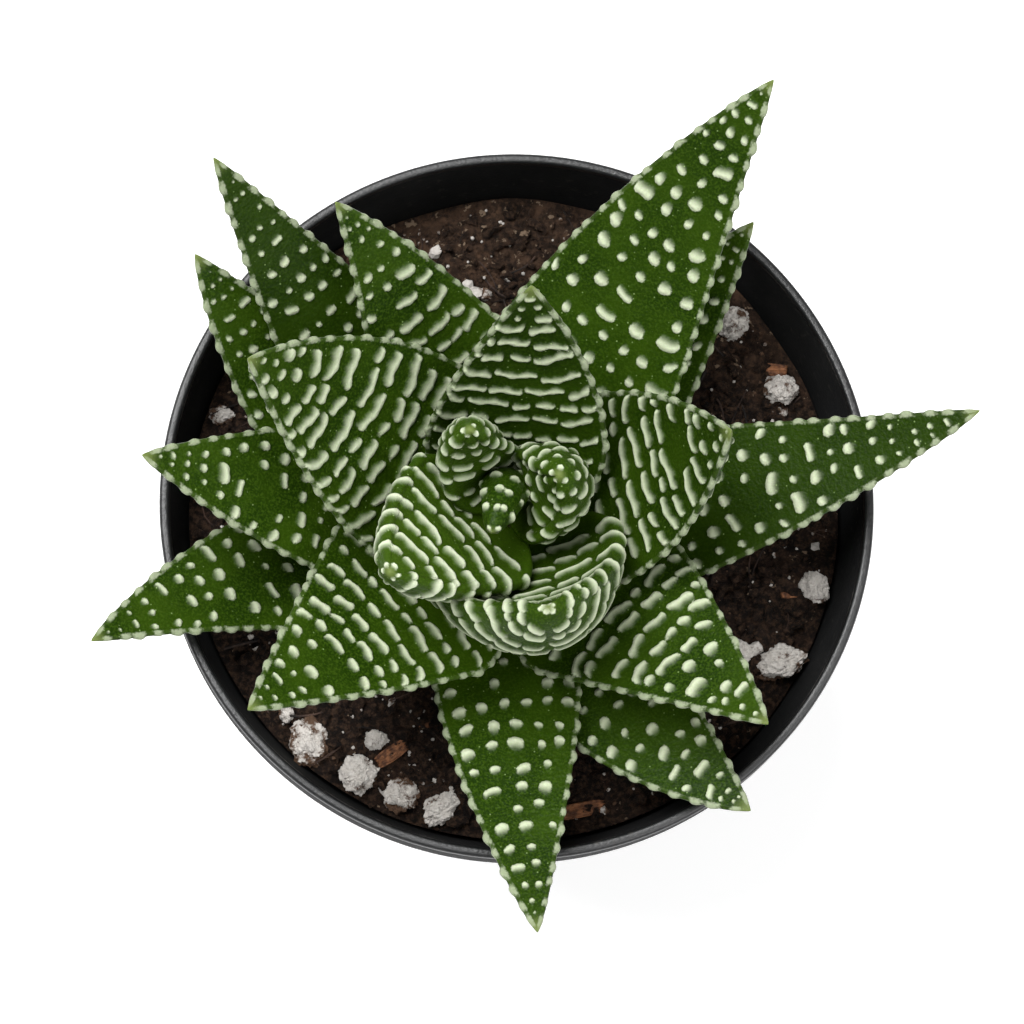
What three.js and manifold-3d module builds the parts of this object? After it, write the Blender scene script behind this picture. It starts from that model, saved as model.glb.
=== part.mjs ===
// Potted haworthia: a rosette of twenty fleshy leaves, banded and dotted with white tubercles, on a short
// stem in peaty soil, in a thin black nursery pot. Millimetres, +Z up, and the origin is the centre of the
// pot's underside, on the surface that the pot stands on.
import * as THREE from 'three';
import { mergeVertices } from 'three/addons/utils/BufferGeometryUtils.js';
import Module from 'manifold-3d';

const wasm = await Module();
wasm.setup();

// ---- driving dimensions ----

const POT_HEIGHT = 73;
const RIM_RADIUS = 42.5;
const BASE_RADIUS = 30;
const WALL = 1.2;
const FLOOR = 1.6;
const LIP_HEIGHT = 7;
const LIP_STEP = 0.8;
const DRAIN_HOLES = 6;
const DRAIN_RADIUS = 3.5;
const DRAIN_CIRCLE = 20;
const POT_SIDES = 40;

// Clearance between pieces that would touch.
const GAP = 0.3;

const SOIL_TOP = 63;
const SOIL_RELIEF = 0.9;
const SOIL_RINGS = 6;

// The stem stands a little off the middle of the pot, and its upper end bends away from +Y. Its radius
// falls from the collar, at the soil, through the middle to the tip, inside the heart of the rosette.
const STEM = { x: -2.2, y: -4.2, foot: 52, collar: 65, top: 90, radius: 5, middle: 2.3, tip: 0.6, bend: 2.5 };

// A leaf's foot stands this far from the stem's centre line: the lowest leaf's and the highest one's.
const FOOT_OUTER = 6.5;
const FOOT_INNER = 1.5;

// A leaf is a lens in section, thickest in the middle, with a blunt margin. UPPER_BULGE is the upper face's
// share of its thickness.
const UPPER_BULGE = 0.12;

// Along a leaf, from its tip: the point widens over POINT_SHARE of the length, and the rest narrows to a
// waist at the foot. The section is full past FULL_FROM and thins again over the last third.
const POINT_SHARE = 0.7;
const FOOT_WAIST = 0.65;
const FOOT_DEPTH = 0.35;
const FULL_FROM = 0.45;
const TIP_SHARE = 1 / 3;

// Tubercles stand in rows across the leaf, and every second row of a flat leaf has a tooth on each margin.
// They start a third of the way along, and leave out the narrowest part of the tip. A leaf is plump if its
// tip is blunter than FLAT_UP_TO. The last station before the tip is CLOSING of a row's pitch from it.
const FLAT_UP_TO = 0.3;
const CLOSING = 0.3;
const ROW_PITCH = 2.6;
const COLUMN_WIDTH = 4.5;
const TOOTH = 0.3;
const MARK_HEIGHT = 0.55;
const MARK_START = 0.3;
const MARK_LEAST = 1.6;
const BARS_TO_DOTS = 0.62;
const BANDS_TO_DOTS = 0.86;
const RUN_LENGTH = { bars: 2, bands: 3 };

// What the leaves of each turn of the rosette share. rise: slope at the foot and at the tip, in degrees.
// sweep: how far the heading turns on the way. wrap: how far each half curls round the rosette. fill: how
// far flesh fills that curl. taper: 1 is a straight-sided point and 2 a rounded one. blunt: how round the
// tip is. thick: depth in the middle as a share of the width. margin: height of the edge. marks: dots,
// short bars or long bands. on: the face that carries them.
const OUTER = {
  sweep: 0, wrap: 12, taper: 1.3, fill: 0, thick: 0.16, margin: 0.7, blunt: 0, marks: 'dots', on: 'top',
};
const MIDDLE = { ...OUTER, taper: 1.2, marks: 'bars' };
const INNER = { ...OUTER, taper: 1.5, fill: 0.2, marks: 'bands' };
const UPRIGHT = { ...INNER, wrap: 28, taper: 1.3, fill: 0.3 };
const CRESCENT = { ...INNER, wrap: 42, taper: 1.8, fill: 0.9, thick: 0.3, margin: 1.6, blunt: 0.5, on: 'both' };
const HOOD = { ...CRESCENT, wrap: 50, fill: 1, thick: 0.4 };
const BUD = { ...HOOD, wrap: 40, margin: 1, marks: 'dots' };

// Each leaf, from the lowest on the stem to the heart. base: height of its foot. heading: the way it
// points, from +X. Lengths are in mm.
const LEAVES = [
  { ...OUTER, base: 65.5, heading: 51, length: 44.7, width: 18.1, rise: [22, 34], sweep: -1.3, taper: 1.26 },
  { ...OUTER, base: 65, heading: 184.2, length: 48.4, width: 17, rise: [21, 28], sweep: 29.3, taper: 1.34 },
  {
    ...OUTER, base: 65.5, heading: 302.5, length: 41.3, width: 15.7, rise: [20, 24], sweep: 19.5, taper: 1.94,
  },
  { ...OUTER, base: 67, heading: 150.3, length: 47.3, width: 19.6, rise: [22, 34], sweep: -24, taper: 1.29 },
  { ...OUTER, base: 68.2, heading: 8.7, length: 56.2, width: 17.9, rise: [20, 32], sweep: 8.1, taper: 1.17 },
  { ...OUTER, base: 68, heading: 272.4, length: 46.9, width: 16.7, rise: [22, 26], sweep: 4.7, taper: 1.37 },
  { ...OUTER, base: 69.6, heading: 133.1, length: 56.1, width: 20.2, rise: [28, 40], sweep: -4.8, taper: 1.05 },
  { ...OUTER, base: 73.5, heading: 173.3, length: 43.2, width: 18, rise: [27, 34], sweep: -1, taper: 1.54 },
  { ...OUTER, base: 72, heading: 64.8, length: 61.1, width: 22.4, rise: [24, 38], sweep: -15.2 },
  {
    ...MIDDLE, base: 75, heading: 108.6, length: 44.4, width: 20.6, rise: [32, 44], sweep: 28.4, taper: 1.09,
  },
  {
    ...MIDDLE, base: 73.5, heading: 323.8, length: 42.1, width: 22.7, rise: [32, 36], sweep: -10.4, taper: 1.16,
  },
  { ...MIDDLE, base: 75.4, heading: 220, length: 42.4, width: 24.1, rise: [33, 38], taper: 1.1 },
  {
    ...INNER, base: 76, heading: 14, length: 38.6, width: 22, rise: [38, 72], sweep: 0.7, wrap: 21, taper: 2.05,
  },
  {
    ...INNER, base: 79.5, heading: 150.8, length: 42.8, width: 24, rise: [38, 56], sweep: 13.1, wrap: 22, taper: 1.82,
  },
  {
    ...UPRIGHT, base: 81.5, heading: 80.1, length: 34.1, width: 21.6, rise: [52, 62], sweep: 10.9, wrap: 36, taper: 1.7,
  },
  {
    ...CRESCENT, base: 81.5, heading: 285.5, length: 32, width: 25.5, rise: [26, 104], sweep: -2.6, wrap: 50,
    fill: 0.35, thick: 0.14, margin: 1.5,
  },
  {
    ...CRESCENT, base: 86, heading: 219, length: 26.5, width: 19.5, rise: [40, 68], sweep: 1.6, taper: 1.5,
    fill: 0.7, thick: 0.2, margin: 1.4,
  },
  {
    ...HOOD, base: 86, heading: 4.9, length: 19.7, width: 13.3, rise: [45, 116], sweep: 33.2, wrap: 72,
    thick: 0.32, margin: 1.4,
  },
  { ...HOOD, base: 87.5, heading: 145.8, length: 20.5, width: 9.2, rise: [54, 98], sweep: -54.4, margin: 1.4 },
  { ...BUD, base: 90.4, heading: 73.1, length: 14, width: 5.2, rise: [90, 172], sweep: -1.1 },
];

// The leaves from this one in the list to the heart press on each other: each is dented by the ones above it.
const PRESSED_FROM = 15;

// Grains of perlite, and chips of bark that lie flat, on the soil: place from the pot's axis, half sizes
// in mm, and turn in degrees.
const PERLITE = [
  { x: -24.4, y: -27.9, size: [2.3, 2.7, 1.8], turn: 20 },
  { x: -18.6, y: -31.8, size: [2.2, 2.1, 1.8], turn: 65 },
  { x: -13.6, y: -33.9, size: [2, 1.9, 1.6], turn: 10 },
  { x: -16.7, y: -27.6, size: [1.2, 1.2, 1], turn: 0 },
  { x: -27.3, y: -24.2, size: [0.9, 1.5, 1], turn: 15 },
  { x: -8.8, y: -35.7, size: [2.3, 1.8, 1.6], turn: 40 },
  { x: 26.4, y: 23.7, size: [1.8, 2.9, 1.8], turn: 15 },
  { x: 32.4, y: 15.8, size: [1.9, 2.8, 1.7], turn: -20 },
  { x: 31.7, y: -17.7, size: [2.7, 2, 1.8], turn: 5 },
  { x: 27.1, y: -16.5, size: [1.3, 1.6, 1.2], turn: 50 },
  { x: 36.2, y: -8.6, size: [1.5, 1.8, 1.5], turn: 30 },
  { x: -35.6, y: 12.2, size: [1.4, 1.1, 1], turn: 0 },
];
const BARK = [
  { x: -14.8, y: -29.2, size: [1.9, 0.9, 0.7], turn: 35 },
  { x: 7.8, y: -35.7, size: [2.9, 0.9, 0.8], turn: 12 },
  { x: 22, y: 29, size: [2.4, 1, 0.8], turn: -40 },
];

// ---- shared shape helpers ----

const radians = THREE.MathUtils.degToRad;

/** One closed mesh geometry from a list of points and a list of triangles. */
function closedGeometry(points, triangles) {
  const geometry = new THREE.BufferGeometry();
  geometry.setAttribute('position', new THREE.Float32BufferAttribute(points.flatMap((p) => p.toArray()), 3));
  geometry.setIndex(triangles.flat());
  geometry.computeVertexNormals();
  return geometry;
}

/** A closed three.js geometry as a solid that can be joined and cut. */
function toSolid(geometry) {
  const bare = geometry.clone();
  bare.deleteAttribute('normal');
  bare.deleteAttribute('uv');
  const merged = mergeVertices(bare, 1e-4);
  return new wasm.Manifold(new wasm.Mesh({
    numProp: 3,
    vertProperties: new Float32Array(merged.attributes.position.array),
    triVerts: new Uint32Array(merged.index.array),
  }));
}

/** A joined or cut solid back as a three.js geometry. */
function toGeometry(solid) {
  const mesh = solid.getMesh();
  const geometry = new THREE.BufferGeometry();
  geometry.setAttribute('position', new THREE.Float32BufferAttribute(mesh.vertProperties, 3));
  geometry.setIndex(new THREE.BufferAttribute(mesh.triVerts, 1));
  geometry.computeVertexNormals();
  return geometry;
}

/** A turned body about +Z, from its profile of [radius, height] points, which starts and ends on the axis. */
function turned(profile, sides) {
  const geometry = new THREE.LatheGeometry(profile.map(([r, z]) => new THREE.Vector2(r, z)), sides);
  return geometry.rotateX(Math.PI / 2);
}

/** A point at an angle round the vertical line through x, y. */
function onCircle(x, y, radius, angle, z) {
  return new THREE.Vector3(x + radius * Math.cos(angle), y + radius * Math.sin(angle), z);
}

// ---- pot: a thin tapered tub with a stepped lip and drain holes in its floor ----

const LIP_FOOT = POT_HEIGHT - LIP_HEIGHT;
const WALL_TOP_RADIUS = RIM_RADIUS - LIP_STEP;
const SLOPE = (WALL_TOP_RADIUS - BASE_RADIUS) / LIP_FOOT;

/** Inside radius of the pot's wall at a height below the lip. */
function innerRadius(z) {
  return Math.min(BASE_RADIUS + SLOPE * z, WALL_TOP_RADIUS) - WALL;
}

function makePot() {
  const chamfer = 1.2;
  const round = 0.35;
  const holeSides = 16;
  const body = turned([
    [0, 0],
    [BASE_RADIUS - chamfer, 0],
    [BASE_RADIUS + SLOPE * chamfer, chamfer],
    [WALL_TOP_RADIUS, LIP_FOOT],
    [RIM_RADIUS - round, LIP_FOOT + LIP_STEP],
    [RIM_RADIUS, LIP_FOOT + 2 * LIP_STEP],
    [RIM_RADIUS, POT_HEIGHT - round],
    [RIM_RADIUS - round, POT_HEIGHT],
    [RIM_RADIUS - WALL + round, POT_HEIGHT],
    [RIM_RADIUS - WALL, POT_HEIGHT - round],
    [RIM_RADIUS - WALL - LIP_STEP, LIP_FOOT],
    [innerRadius(FLOOR), FLOOR],
    [0, FLOOR],
  ], POT_SIDES);
  let solid = toSolid(body);
  for (let i = 0; i < DRAIN_HOLES; i += 1) {
    const angle = (2 * Math.PI * (i + 0.5)) / DRAIN_HOLES;
    const hole = new THREE.CylinderGeometry(DRAIN_RADIUS, DRAIN_RADIUS, 4 * FLOOR, holeSides);
    hole.rotateX(Math.PI / 2);
    hole.translate(DRAIN_CIRCLE * Math.cos(angle), DRAIN_CIRCLE * Math.sin(angle), 0);
    solid = solid.subtract(toSolid(hole));
  }
  return toGeometry(solid);
}

// ---- stem: a short tapering core that the leaves grow from, rooted in the soil ----

/** Centre of the stem at a height. */
function stemCentre(z) {
  const lift = Math.max(0, z - STEM.collar) / (STEM.top - STEM.collar);
  return new THREE.Vector2(STEM.x, STEM.y + STEM.bend * lift ** 2);
}

function makeStem() {
  const sides = 16;
  const footNarrowing = 0.7;
  const footTaper = 3;
  const levels = [
    [STEM.foot, footNarrowing * STEM.radius],
    [STEM.foot + footTaper, STEM.radius],
    [STEM.collar, STEM.radius],
    [(STEM.collar + STEM.top) / 2, STEM.middle],
    [STEM.top, STEM.tip],
  ];
  const points = [];
  for (const [z, radius] of levels) {
    const centre = stemCentre(z);
    for (let i = 0; i < sides; i += 1) {
      points.push(onCircle(centre.x, centre.y, radius, (2 * Math.PI * i) / sides, z));
    }
  }
  const triangles = [];
  for (let level = 0; level < levels.length - 1; level += 1) {
    for (let i = 0; i < sides; i += 1) {
      const a = level * sides + i;
      const b = level * sides + ((i + 1) % sides);
      triangles.push([a, b, b + sides], [a, b + sides, a + sides]);
    }
  }
  const last = (levels.length - 1) * sides;
  for (let i = 1; i < sides - 1; i += 1) {
    triangles.push([0, i + 1, i], [last, last + i, last + i + 1]);
  }
  return closedGeometry(points, triangles);
}

// ---- soil: fills the pot to a rough top, with grains and chips sunk in it and a hole for the stem ----

/** Height of the soil's top: low swells about 35 mm and 18 mm long, and a dip round the edge. */
function soilHeight(x, y) {
  const swell = Math.sin(x / 5.5 + 1) * Math.cos(y / 7 + 0.4) + 0.6 * Math.sin(x / 2.9 - y / 3.7);
  const edgeFrom = 0.85;
  const edgeDrop = 8;
  const edge = Math.max(0, Math.hypot(x, y) / innerRadius(SOIL_TOP) - edgeFrom);
  return SOIL_TOP + SOIL_RELIEF * swell - edgeDrop * edge;
}

/** A rough lump: an icosahedron stretched to half sizes, turned about Z and sunk a third into the soil. */
function lump({ x, y, size, turn }) {
  const proud = 0.35;
  const geometry = new THREE.IcosahedronGeometry(1, 0);
  geometry.scale(...size);
  geometry.rotateZ(radians(turn));
  geometry.translate(x, y, soilHeight(x, y) + proud * size[2]);
  return toSolid(geometry);
}

function makeSoil() {
  const points = [];
  const radius = innerRadius(SOIL_TOP - 3 * SOIL_RELIEF) - GAP;
  for (let ring = 1; ring <= SOIL_RINGS; ring += 1) {
    for (let i = 0; i < POT_SIDES; i += 1) {
      const point = onCircle(0, 0, (radius * ring) / SOIL_RINGS, (2 * Math.PI * i) / POT_SIDES, 0);
      point.z = soilHeight(point.x, point.y);
      points.push(point);
    }
  }
  const lowest = FLOOR + GAP;
  for (let i = 0; i < POT_SIDES; i += 1) {
    points.push(onCircle(0, 0, innerRadius(lowest) - GAP, (2 * Math.PI * i) / POT_SIDES, lowest));
  }
  const centreTop = points.push(new THREE.Vector3(0, 0, soilHeight(0, 0))) - 1;
  const centreFoot = points.push(new THREE.Vector3(0, 0, lowest)) - 1;
  const triangles = [];
  for (let i = 0; i < POT_SIDES; i += 1) {
    const next = (i + 1) % POT_SIDES;
    triangles.push([centreTop, i, next]);
    for (let ring = 0; ring < SOIL_RINGS; ring += 1) {
      const inner = ring * POT_SIDES;
      const outer = inner + POT_SIDES;
      triangles.push([inner + i, outer + i, outer + next], [inner + i, outer + next, inner + next]);
    }
    const foot = SOIL_RINGS * POT_SIDES;
    triangles.push([centreFoot, foot + next, foot + i]);
  }
  let solid = toSolid(closedGeometry(points, triangles));
  for (const grain of [...PERLITE, ...BARK]) {
    solid = solid.add(lump(grain));
  }
  const holeSides = 24;
  const depth = SOIL_TOP - STEM.foot + 2 * GAP;
  const hole = new THREE.CylinderGeometry(STEM.radius + GAP, STEM.radius + GAP, 2 * depth, holeSides);
  hole.rotateX(Math.PI / 2);
  hole.translate(STEM.x, STEM.y, SOIL_TOP);
  return toGeometry(solid.subtract(toSolid(hole)));
}

// ---- leaves ----

/** Half the width of a leaf at a fraction s of its length, from 0 at the foot to 1 at the tip. */
function halfWidth(leaf, s) {
  const t = 1 - s;
  const share = t < POINT_SHARE
    ? (1 - (1 - t / POINT_SHARE) ** leaf.taper) ** (1 - 0.5 * leaf.blunt)
    : 1 - FOOT_WAIST * ((t - POINT_SHARE) / (1 - POINT_SHARE)) ** 2;
  return 0.5 * leaf.width * share;
}

/** Depth of the lens section: thin at the foot, full by the middle, thinning to the tip. */
function sectionDepth(leaf, s) {
  const roundness = 0.8 - 0.3 * leaf.blunt;
  const swell = FOOT_DEPTH + (1 - FOOT_DEPTH) * Math.min(1, s / FULL_FROM);
  const thinning = Math.min(1, (1 - s) / TIP_SHARE) ** roundness;
  return leaf.thick * leaf.width * (1 - 0.5 * leaf.fill) * swell * thinning;
}

/** Half the height of a leaf's blunt margin at s. It closes to nothing at the tip. */
function halfMargin(leaf, s) {
  const closing = 0.04 + 0.03 * leaf.margin;
  return 0.5 * leaf.margin * Math.min(1, (1 - s) / closing) ** 0.5;
}

/** Direction, sideways direction and upper-side direction of a leaf's midrib at s. */
function midribFrame(leaf, s) {
  const heading = radians(leaf.heading + leaf.sweep * s);
  const rise = radians(leaf.rise[0] + (leaf.rise[1] - leaf.rise[0]) * s);
  const [ahead, left] = [Math.cos(heading), Math.sin(heading)];
  return {
    along: new THREE.Vector3(Math.cos(rise) * ahead, Math.cos(rise) * left, Math.sin(rise)),
    side: new THREE.Vector3(-left, ahead, 0),
    upper: new THREE.Vector3(-Math.sin(rise) * ahead, -Math.sin(rise) * left, Math.cos(rise)),
  };
}

/** Point on the midrib at s: from the leaf's foot beside the stem, along its turning direction. */
function midribPoint(leaf, order, s) {
  const steps = 40;
  const reach = THREE.MathUtils.lerp(FOOT_OUTER, FOOT_INNER, order / (LEAVES.length - 1));
  const centre = stemCentre(leaf.base);
  const point = onCircle(centre.x, centre.y, reach, radians(leaf.heading), leaf.base);
  for (let i = 0; i < steps; i += 1) {
    point.addScaledVector(midribFrame(leaf, (s * (i + 0.5)) / steps).along, (s * leaf.length) / steps);
  }
  return point;
}

/** All that a leaf's cross-section needs at s. tooth is how far the margin steps out there. */
function makeStation(leaf, order, s, tooth) {
  const least = 0.25;
  const half = Math.max(least, halfWidth(leaf, s) + tooth);
  return { leaf, s, centre: midribPoint(leaf, order, s), frame: midribFrame(leaf, s), half };
}

/**
 * Point on a leaf's skin at a station: x across it from -1 to 1, on its upper (face 1) or lower (face -1)
 * side, lifted off the skin by lift. The section bends round an arc of twice the leaf's wrap, and flesh
 * fills the hollow of that arc past the foot.
 */
function skinPoint(station, x, face, lift = 0) {
  const { leaf, s, centre, frame, half } = station;
  const wrap = radians(leaf.wrap);
  const bend = wrap * x;
  const share = face > 0 ? UPPER_BULGE : 1 - UPPER_BULGE;
  const offset = face * (halfMargin(leaf, s) + share * sectionDepth(leaf, s) * (1 - x * x) + lift);
  const filled = face > 0 ? leaf.fill * Math.min(1, 2 * s) * (Math.cos(bend) - Math.cos(wrap)) : 0;
  return centre.clone()
    .addScaledVector(frame.side, (half * Math.sin(bend)) / wrap - offset * Math.sin(bend))
    .addScaledVector(frame.upper, (half * (1 - Math.cos(bend) + filled)) / wrap + offset * Math.cos(bend));
}

/** The runs of columns that carry a tubercle in one row: single dots, short bars or bands. */
function markRuns(marks, row, columns, s) {
  const runs = [];
  const toDots = { dots: 0, bars: BARS_TO_DOTS, bands: BANDS_TO_DOTS }[marks];
  if (s > toDots) {
    for (let column = row % 2; column < columns; column += 2) {
      runs.push([column, column]);
    }
    return runs;
  }
  const size = RUN_LENGTH[marks];
  for (let column = -(row % size); column < columns; column += size) {
    runs.push([Math.max(0, column), Math.min(columns, column + size) - 1]);
  }
  return runs;
}

/** A leaf as one closed solid: a grid on each face, a blunt toothed margin, and raised white tubercles. */
function makeLeaf(leaf, order) {
  const rows = Math.round(leaf.length / ROW_PITCH);
  const columns = Math.max(3, Math.round(leaf.width / COLUMN_WIDTH));
  const across = (column) => -1 + (2 * column) / columns;
  const points = [];
  const triangles = [];
  const upper = [];
  const lower = [];
  for (let row = 0; row <= rows; row += 1) {
    const s = row < rows ? row / rows : 1 - CLOSING / rows;
    const toothed = leaf.blunt < FLAT_UP_TO && s > MARK_START && row % 2 === 1 && row < rows;
    const tooth = toothed ? TOOTH : 0;
    const station = makeStation(leaf, order, s, tooth);
    upper.push([]);
    lower.push([]);
    for (let column = 0; column <= columns; column += 1) {
      upper[row].push(points.push(skinPoint(station, across(column), 1)) - 1);
      lower[row].push(points.push(skinPoint(station, across(column), -1)) - 1);
    }
  }
  const tip = points.push(midribPoint(leaf, order, 1)) - 1;

  /** Two triangles, turned over on the lower face so that they look outwards. */
  function quad(a, b, c, d, face = 1) {
    triangles.push(face > 0 ? [a, b, c] : [a, c, b], face > 0 ? [a, c, d] : [a, d, c]);
  }

  /** A raised tubercle over columns first to last of a row: flat surround, sloping sides and a ridge. */
  function raise(face, row, first, last) {
    const surround = 0.2;
    const grid = face > 0 ? upper : lower;
    const stand = (share, x, lift) => {
      const station = makeStation(leaf, order, (row + share) / rows, 0);
      return points.push(skinPoint(station, x, face, lift)) - 1;
    };
    const lines = [];
    for (let column = first; column <= last + 1; column += 1) {
      const end = column === first ? 1 : column === last + 1 ? -1 : 0;
      const foot = across(column + end * surround);
      lines.push({
        near: grid[row][column],
        low: stand(surround, foot, 0),
        crest: stand(0.5, across(column + 2 * end * surround), MARK_HEIGHT),
        high: stand(1 - surround, foot, 0),
        far: grid[row + 1][column],
      });
    }
    for (let i = 0; i < lines.length - 1; i += 1) {
      const [a, b] = [lines[i], lines[i + 1]];
      quad(a.near, a.low, b.low, b.near, face);
      quad(a.low, a.crest, b.crest, b.low, face);
      quad(a.crest, a.high, b.high, b.crest, face);
      quad(a.high, a.far, b.far, b.high, face);
    }
    for (const [line, hand] of [[lines[0], face], [lines[lines.length - 1], -face]]) {
      quad(line.near, line.far, line.high, line.low, hand);
      triangles.push(hand > 0 ? [line.low, line.high, line.crest] : [line.low, line.crest, line.high]);
    }
  }

  const markedFaces = { top: [1], under: [-1], both: [1, -1] }[leaf.on];
  for (let row = 0; row < rows; row += 1) {
    const s = (row + 0.5) / rows;
    const narrow = halfWidth(leaf, s) < MARK_LEAST || row === rows - 1;
    const bare = s < MARK_START || narrow || leaf.marks === 'none';
    for (const face of [1, -1]) {
      const grid = face > 0 ? upper : lower;
      const runs = bare || !markedFaces.includes(face) ? [] : markRuns(leaf.marks, row, columns, s);
      const marked = new Set();
      for (const [first, last] of runs) {
        raise(face, row, first, last);
        for (let column = first; column <= last; column += 1) {
          marked.add(column);
        }
      }
      for (let column = 0; column < columns; column += 1) {
        if (!marked.has(column)) {
          const [near, far] = [grid[row], grid[row + 1]];
          quad(near[column], far[column], far[column + 1], near[column + 1], face);
        }
      }
    }
    quad(upper[row][0], lower[row][0], lower[row + 1][0], upper[row + 1][0]);
    quad(upper[row][columns], upper[row + 1][columns], lower[row + 1][columns], lower[row][columns]);
  }

  const end = rows;
  for (let column = 0; column < columns; column += 1) {
    quad(upper[0][column], upper[0][column + 1], lower[0][column + 1], lower[0][column]);
    triangles.push([upper[end][column], tip, upper[end][column + 1]]);
    triangles.push([lower[end][column], lower[end][column + 1], tip]);
  }
  triangles.push([upper[end][0], lower[end][0], tip]);
  triangles.push([upper[end][columns], tip, lower[end][columns]]);
  return closedGeometry(points, triangles);
}

/** A leaf of the heart, with the dents that the higher leaves press into it. Crumbs of flesh fall away. */
function makePressedLeaf(leaf, order) {
  let solid = toSolid(makeLeaf(leaf, order));
  for (let above = order + 1; above < LEAVES.length; above += 1) {
    const { base, length, width, margin } = LEAVES[above];
    const swelling = MARK_HEIGHT + GAP;
    const swollen = {
      ...LEAVES[above],
      base: base - GAP,
      length: length + swelling + GAP,
      width: width + 2 * swelling,
      margin: margin + 2 * swelling,
      marks: 'none',
    };
    solid = solid.subtract(toSolid(makeLeaf(swollen, above)));
  }
  const pieces = solid.decompose().sort((a, b) => b.volume() - a.volume());
  return toGeometry(pieces[0]);
}

// ---- materials and assembly ----

const plastic = new THREE.MeshStandardMaterial({ color: '#232527', roughness: 0.5, metalness: 0 });
const peat = new THREE.MeshStandardMaterial({ color: '#3a2a21', roughness: 0.95, metalness: 0 });
const core = new THREE.MeshStandardMaterial({ color: '#8f9a55', roughness: 0.7, metalness: 0 });
const flesh = new THREE.MeshStandardMaterial({ color: '#35601f', roughness: 0.45, metalness: 0 });

const group = new THREE.Group();

function place(name, geometry, material) {
  const mesh = new THREE.Mesh(geometry, material);
  mesh.name = name;
  group.add(mesh);
}

place('pot', makePot(), plastic);
place('soil', makeSoil(), peat);
place('stem', makeStem(), core);
LEAVES.forEach((leaf, order) => {
  const geometry = order < PRESSED_FROM ? makeLeaf(leaf, order) : makePressedLeaf(leaf, order);
  place(`leaf_${String(order + 1).padStart(2, '0')}`, geometry, flesh);
});

export default group;
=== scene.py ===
"""Potted haworthia: a young rosette of fleshy leaves with white tubercles, in peaty soil in a black pot."""

import math
import random

import bmesh
import bpy
import numpy as np
from mathutils import Matrix, Vector


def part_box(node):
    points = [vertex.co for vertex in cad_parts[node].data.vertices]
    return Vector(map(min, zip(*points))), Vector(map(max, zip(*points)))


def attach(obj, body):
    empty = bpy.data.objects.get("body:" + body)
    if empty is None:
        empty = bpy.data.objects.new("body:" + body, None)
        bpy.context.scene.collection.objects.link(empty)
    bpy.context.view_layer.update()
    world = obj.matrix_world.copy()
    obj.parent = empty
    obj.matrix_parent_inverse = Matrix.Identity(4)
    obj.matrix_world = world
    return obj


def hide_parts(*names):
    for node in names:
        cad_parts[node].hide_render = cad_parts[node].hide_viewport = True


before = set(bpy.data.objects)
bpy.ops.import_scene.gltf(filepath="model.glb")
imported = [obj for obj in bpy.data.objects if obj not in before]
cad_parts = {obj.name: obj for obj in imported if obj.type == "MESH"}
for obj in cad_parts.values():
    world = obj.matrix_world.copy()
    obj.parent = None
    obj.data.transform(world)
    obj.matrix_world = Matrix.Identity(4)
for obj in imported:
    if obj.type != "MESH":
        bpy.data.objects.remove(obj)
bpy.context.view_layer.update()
bpy.ops.object.select_all(action="DESELECT")


# ---- Camera ----
# The photograph looks almost straight down from half a metre above the rim, leaning a little to the front,
# through a long lens that holds the rosette and the pot in a square picture.

CAMERA_TARGET = Vector((-0.00072, -0.00126, 0.073))
CAMERA_LEAN = Vector((-0.045, -0.165, 1)).normalized()
CAMERA_DISTANCE = 0.520
CAMERA_LENS = 154.03

sideways = Vector((0, 1, 0)).cross(CAMERA_LEAN).normalized()
upwards = CAMERA_LEAN.cross(sideways)
camera_turn = Matrix((sideways, upwards, CAMERA_LEAN)).transposed()

bpy.ops.object.camera_add(location=CAMERA_TARGET + CAMERA_DISTANCE * CAMERA_LEAN)
camera = bpy.context.object
camera.rotation_euler = camera_turn.to_euler()
camera.data.lens = CAMERA_LENS
camera.data.clip_start = 0.01
bpy.context.scene.camera = camera
bpy.context.scene.view_settings.view_transform = "Standard"


# ---- Pot ----
# A thin injection-moulded nursery pot of black polypropylene: a tapered wall, a stepped lip that stiffens the
# rim, and a flat floor with drain holes. It was moulded in one piece, so it is modelled as one.

POT_SIDES = 192
POT_WALL = 0.0012
POT_FLOOR = 0.0016
LIP_HEIGHT = 0.007
LIP_STEP = 0.0008
LIP_BREAK = 0.0002
RIM_ROUND = 0.00045
FOOT_ROUND = 0.0012
BASE_RADIUS = 0.030
FLOOR_RINGS = (0.001, 0.012)
FLOOR_CORNER = 0.001
DRAIN_HOLES = 6
DRAIN_SIDES = 40
DRAIN_RADIUS = 0.0035
DRAIN_CIRCLE = 0.020
DRAIN_FLAT = 0.006
CREASE_ANGLE = 35
RUBBED_FROM, RUBBED_TO = 0.0012, 0.0004
MOULD_BLACK, WORN_BLACK = (0.0065, 0.0068, 0.0072), (0.0105, 0.0108, 0.0112)
POT_DUST = (0.03, 0.028, 0.025)
MATT, SATIN = 0.85, 0.38
MATT_GLOSS, SATIN_GLOSS = 0.18, 0.5

pot_low, pot_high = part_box("pot")
pot_height = pot_high.z
rim_radius = (pot_high.x - pot_low.x) / 2
lip_foot = pot_height - LIP_HEIGHT
wall_top = rim_radius - LIP_STEP
wall_slope = (wall_top - BASE_RADIUS) / lip_foot


def inner_radius(z):
    """Inside radius of the pot's wall at a height below the lip."""
    return BASE_RADIUS + wall_slope * z - POT_WALL


def add_node(tree, kind, inputs=None, **settings):
    """A shader node with its settings made and its inputs set to values or linked to other nodes' outputs."""
    made = tree.nodes.new(kind)
    for name, value in settings.items():
        setattr(made, name, value)
    for name, value in (inputs or {}).items():
        if isinstance(value, bpy.types.NodeSocket):
            tree.links.new(value, made.inputs[name])
        else:
            made.inputs[name].default_value = value
    return made


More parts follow.
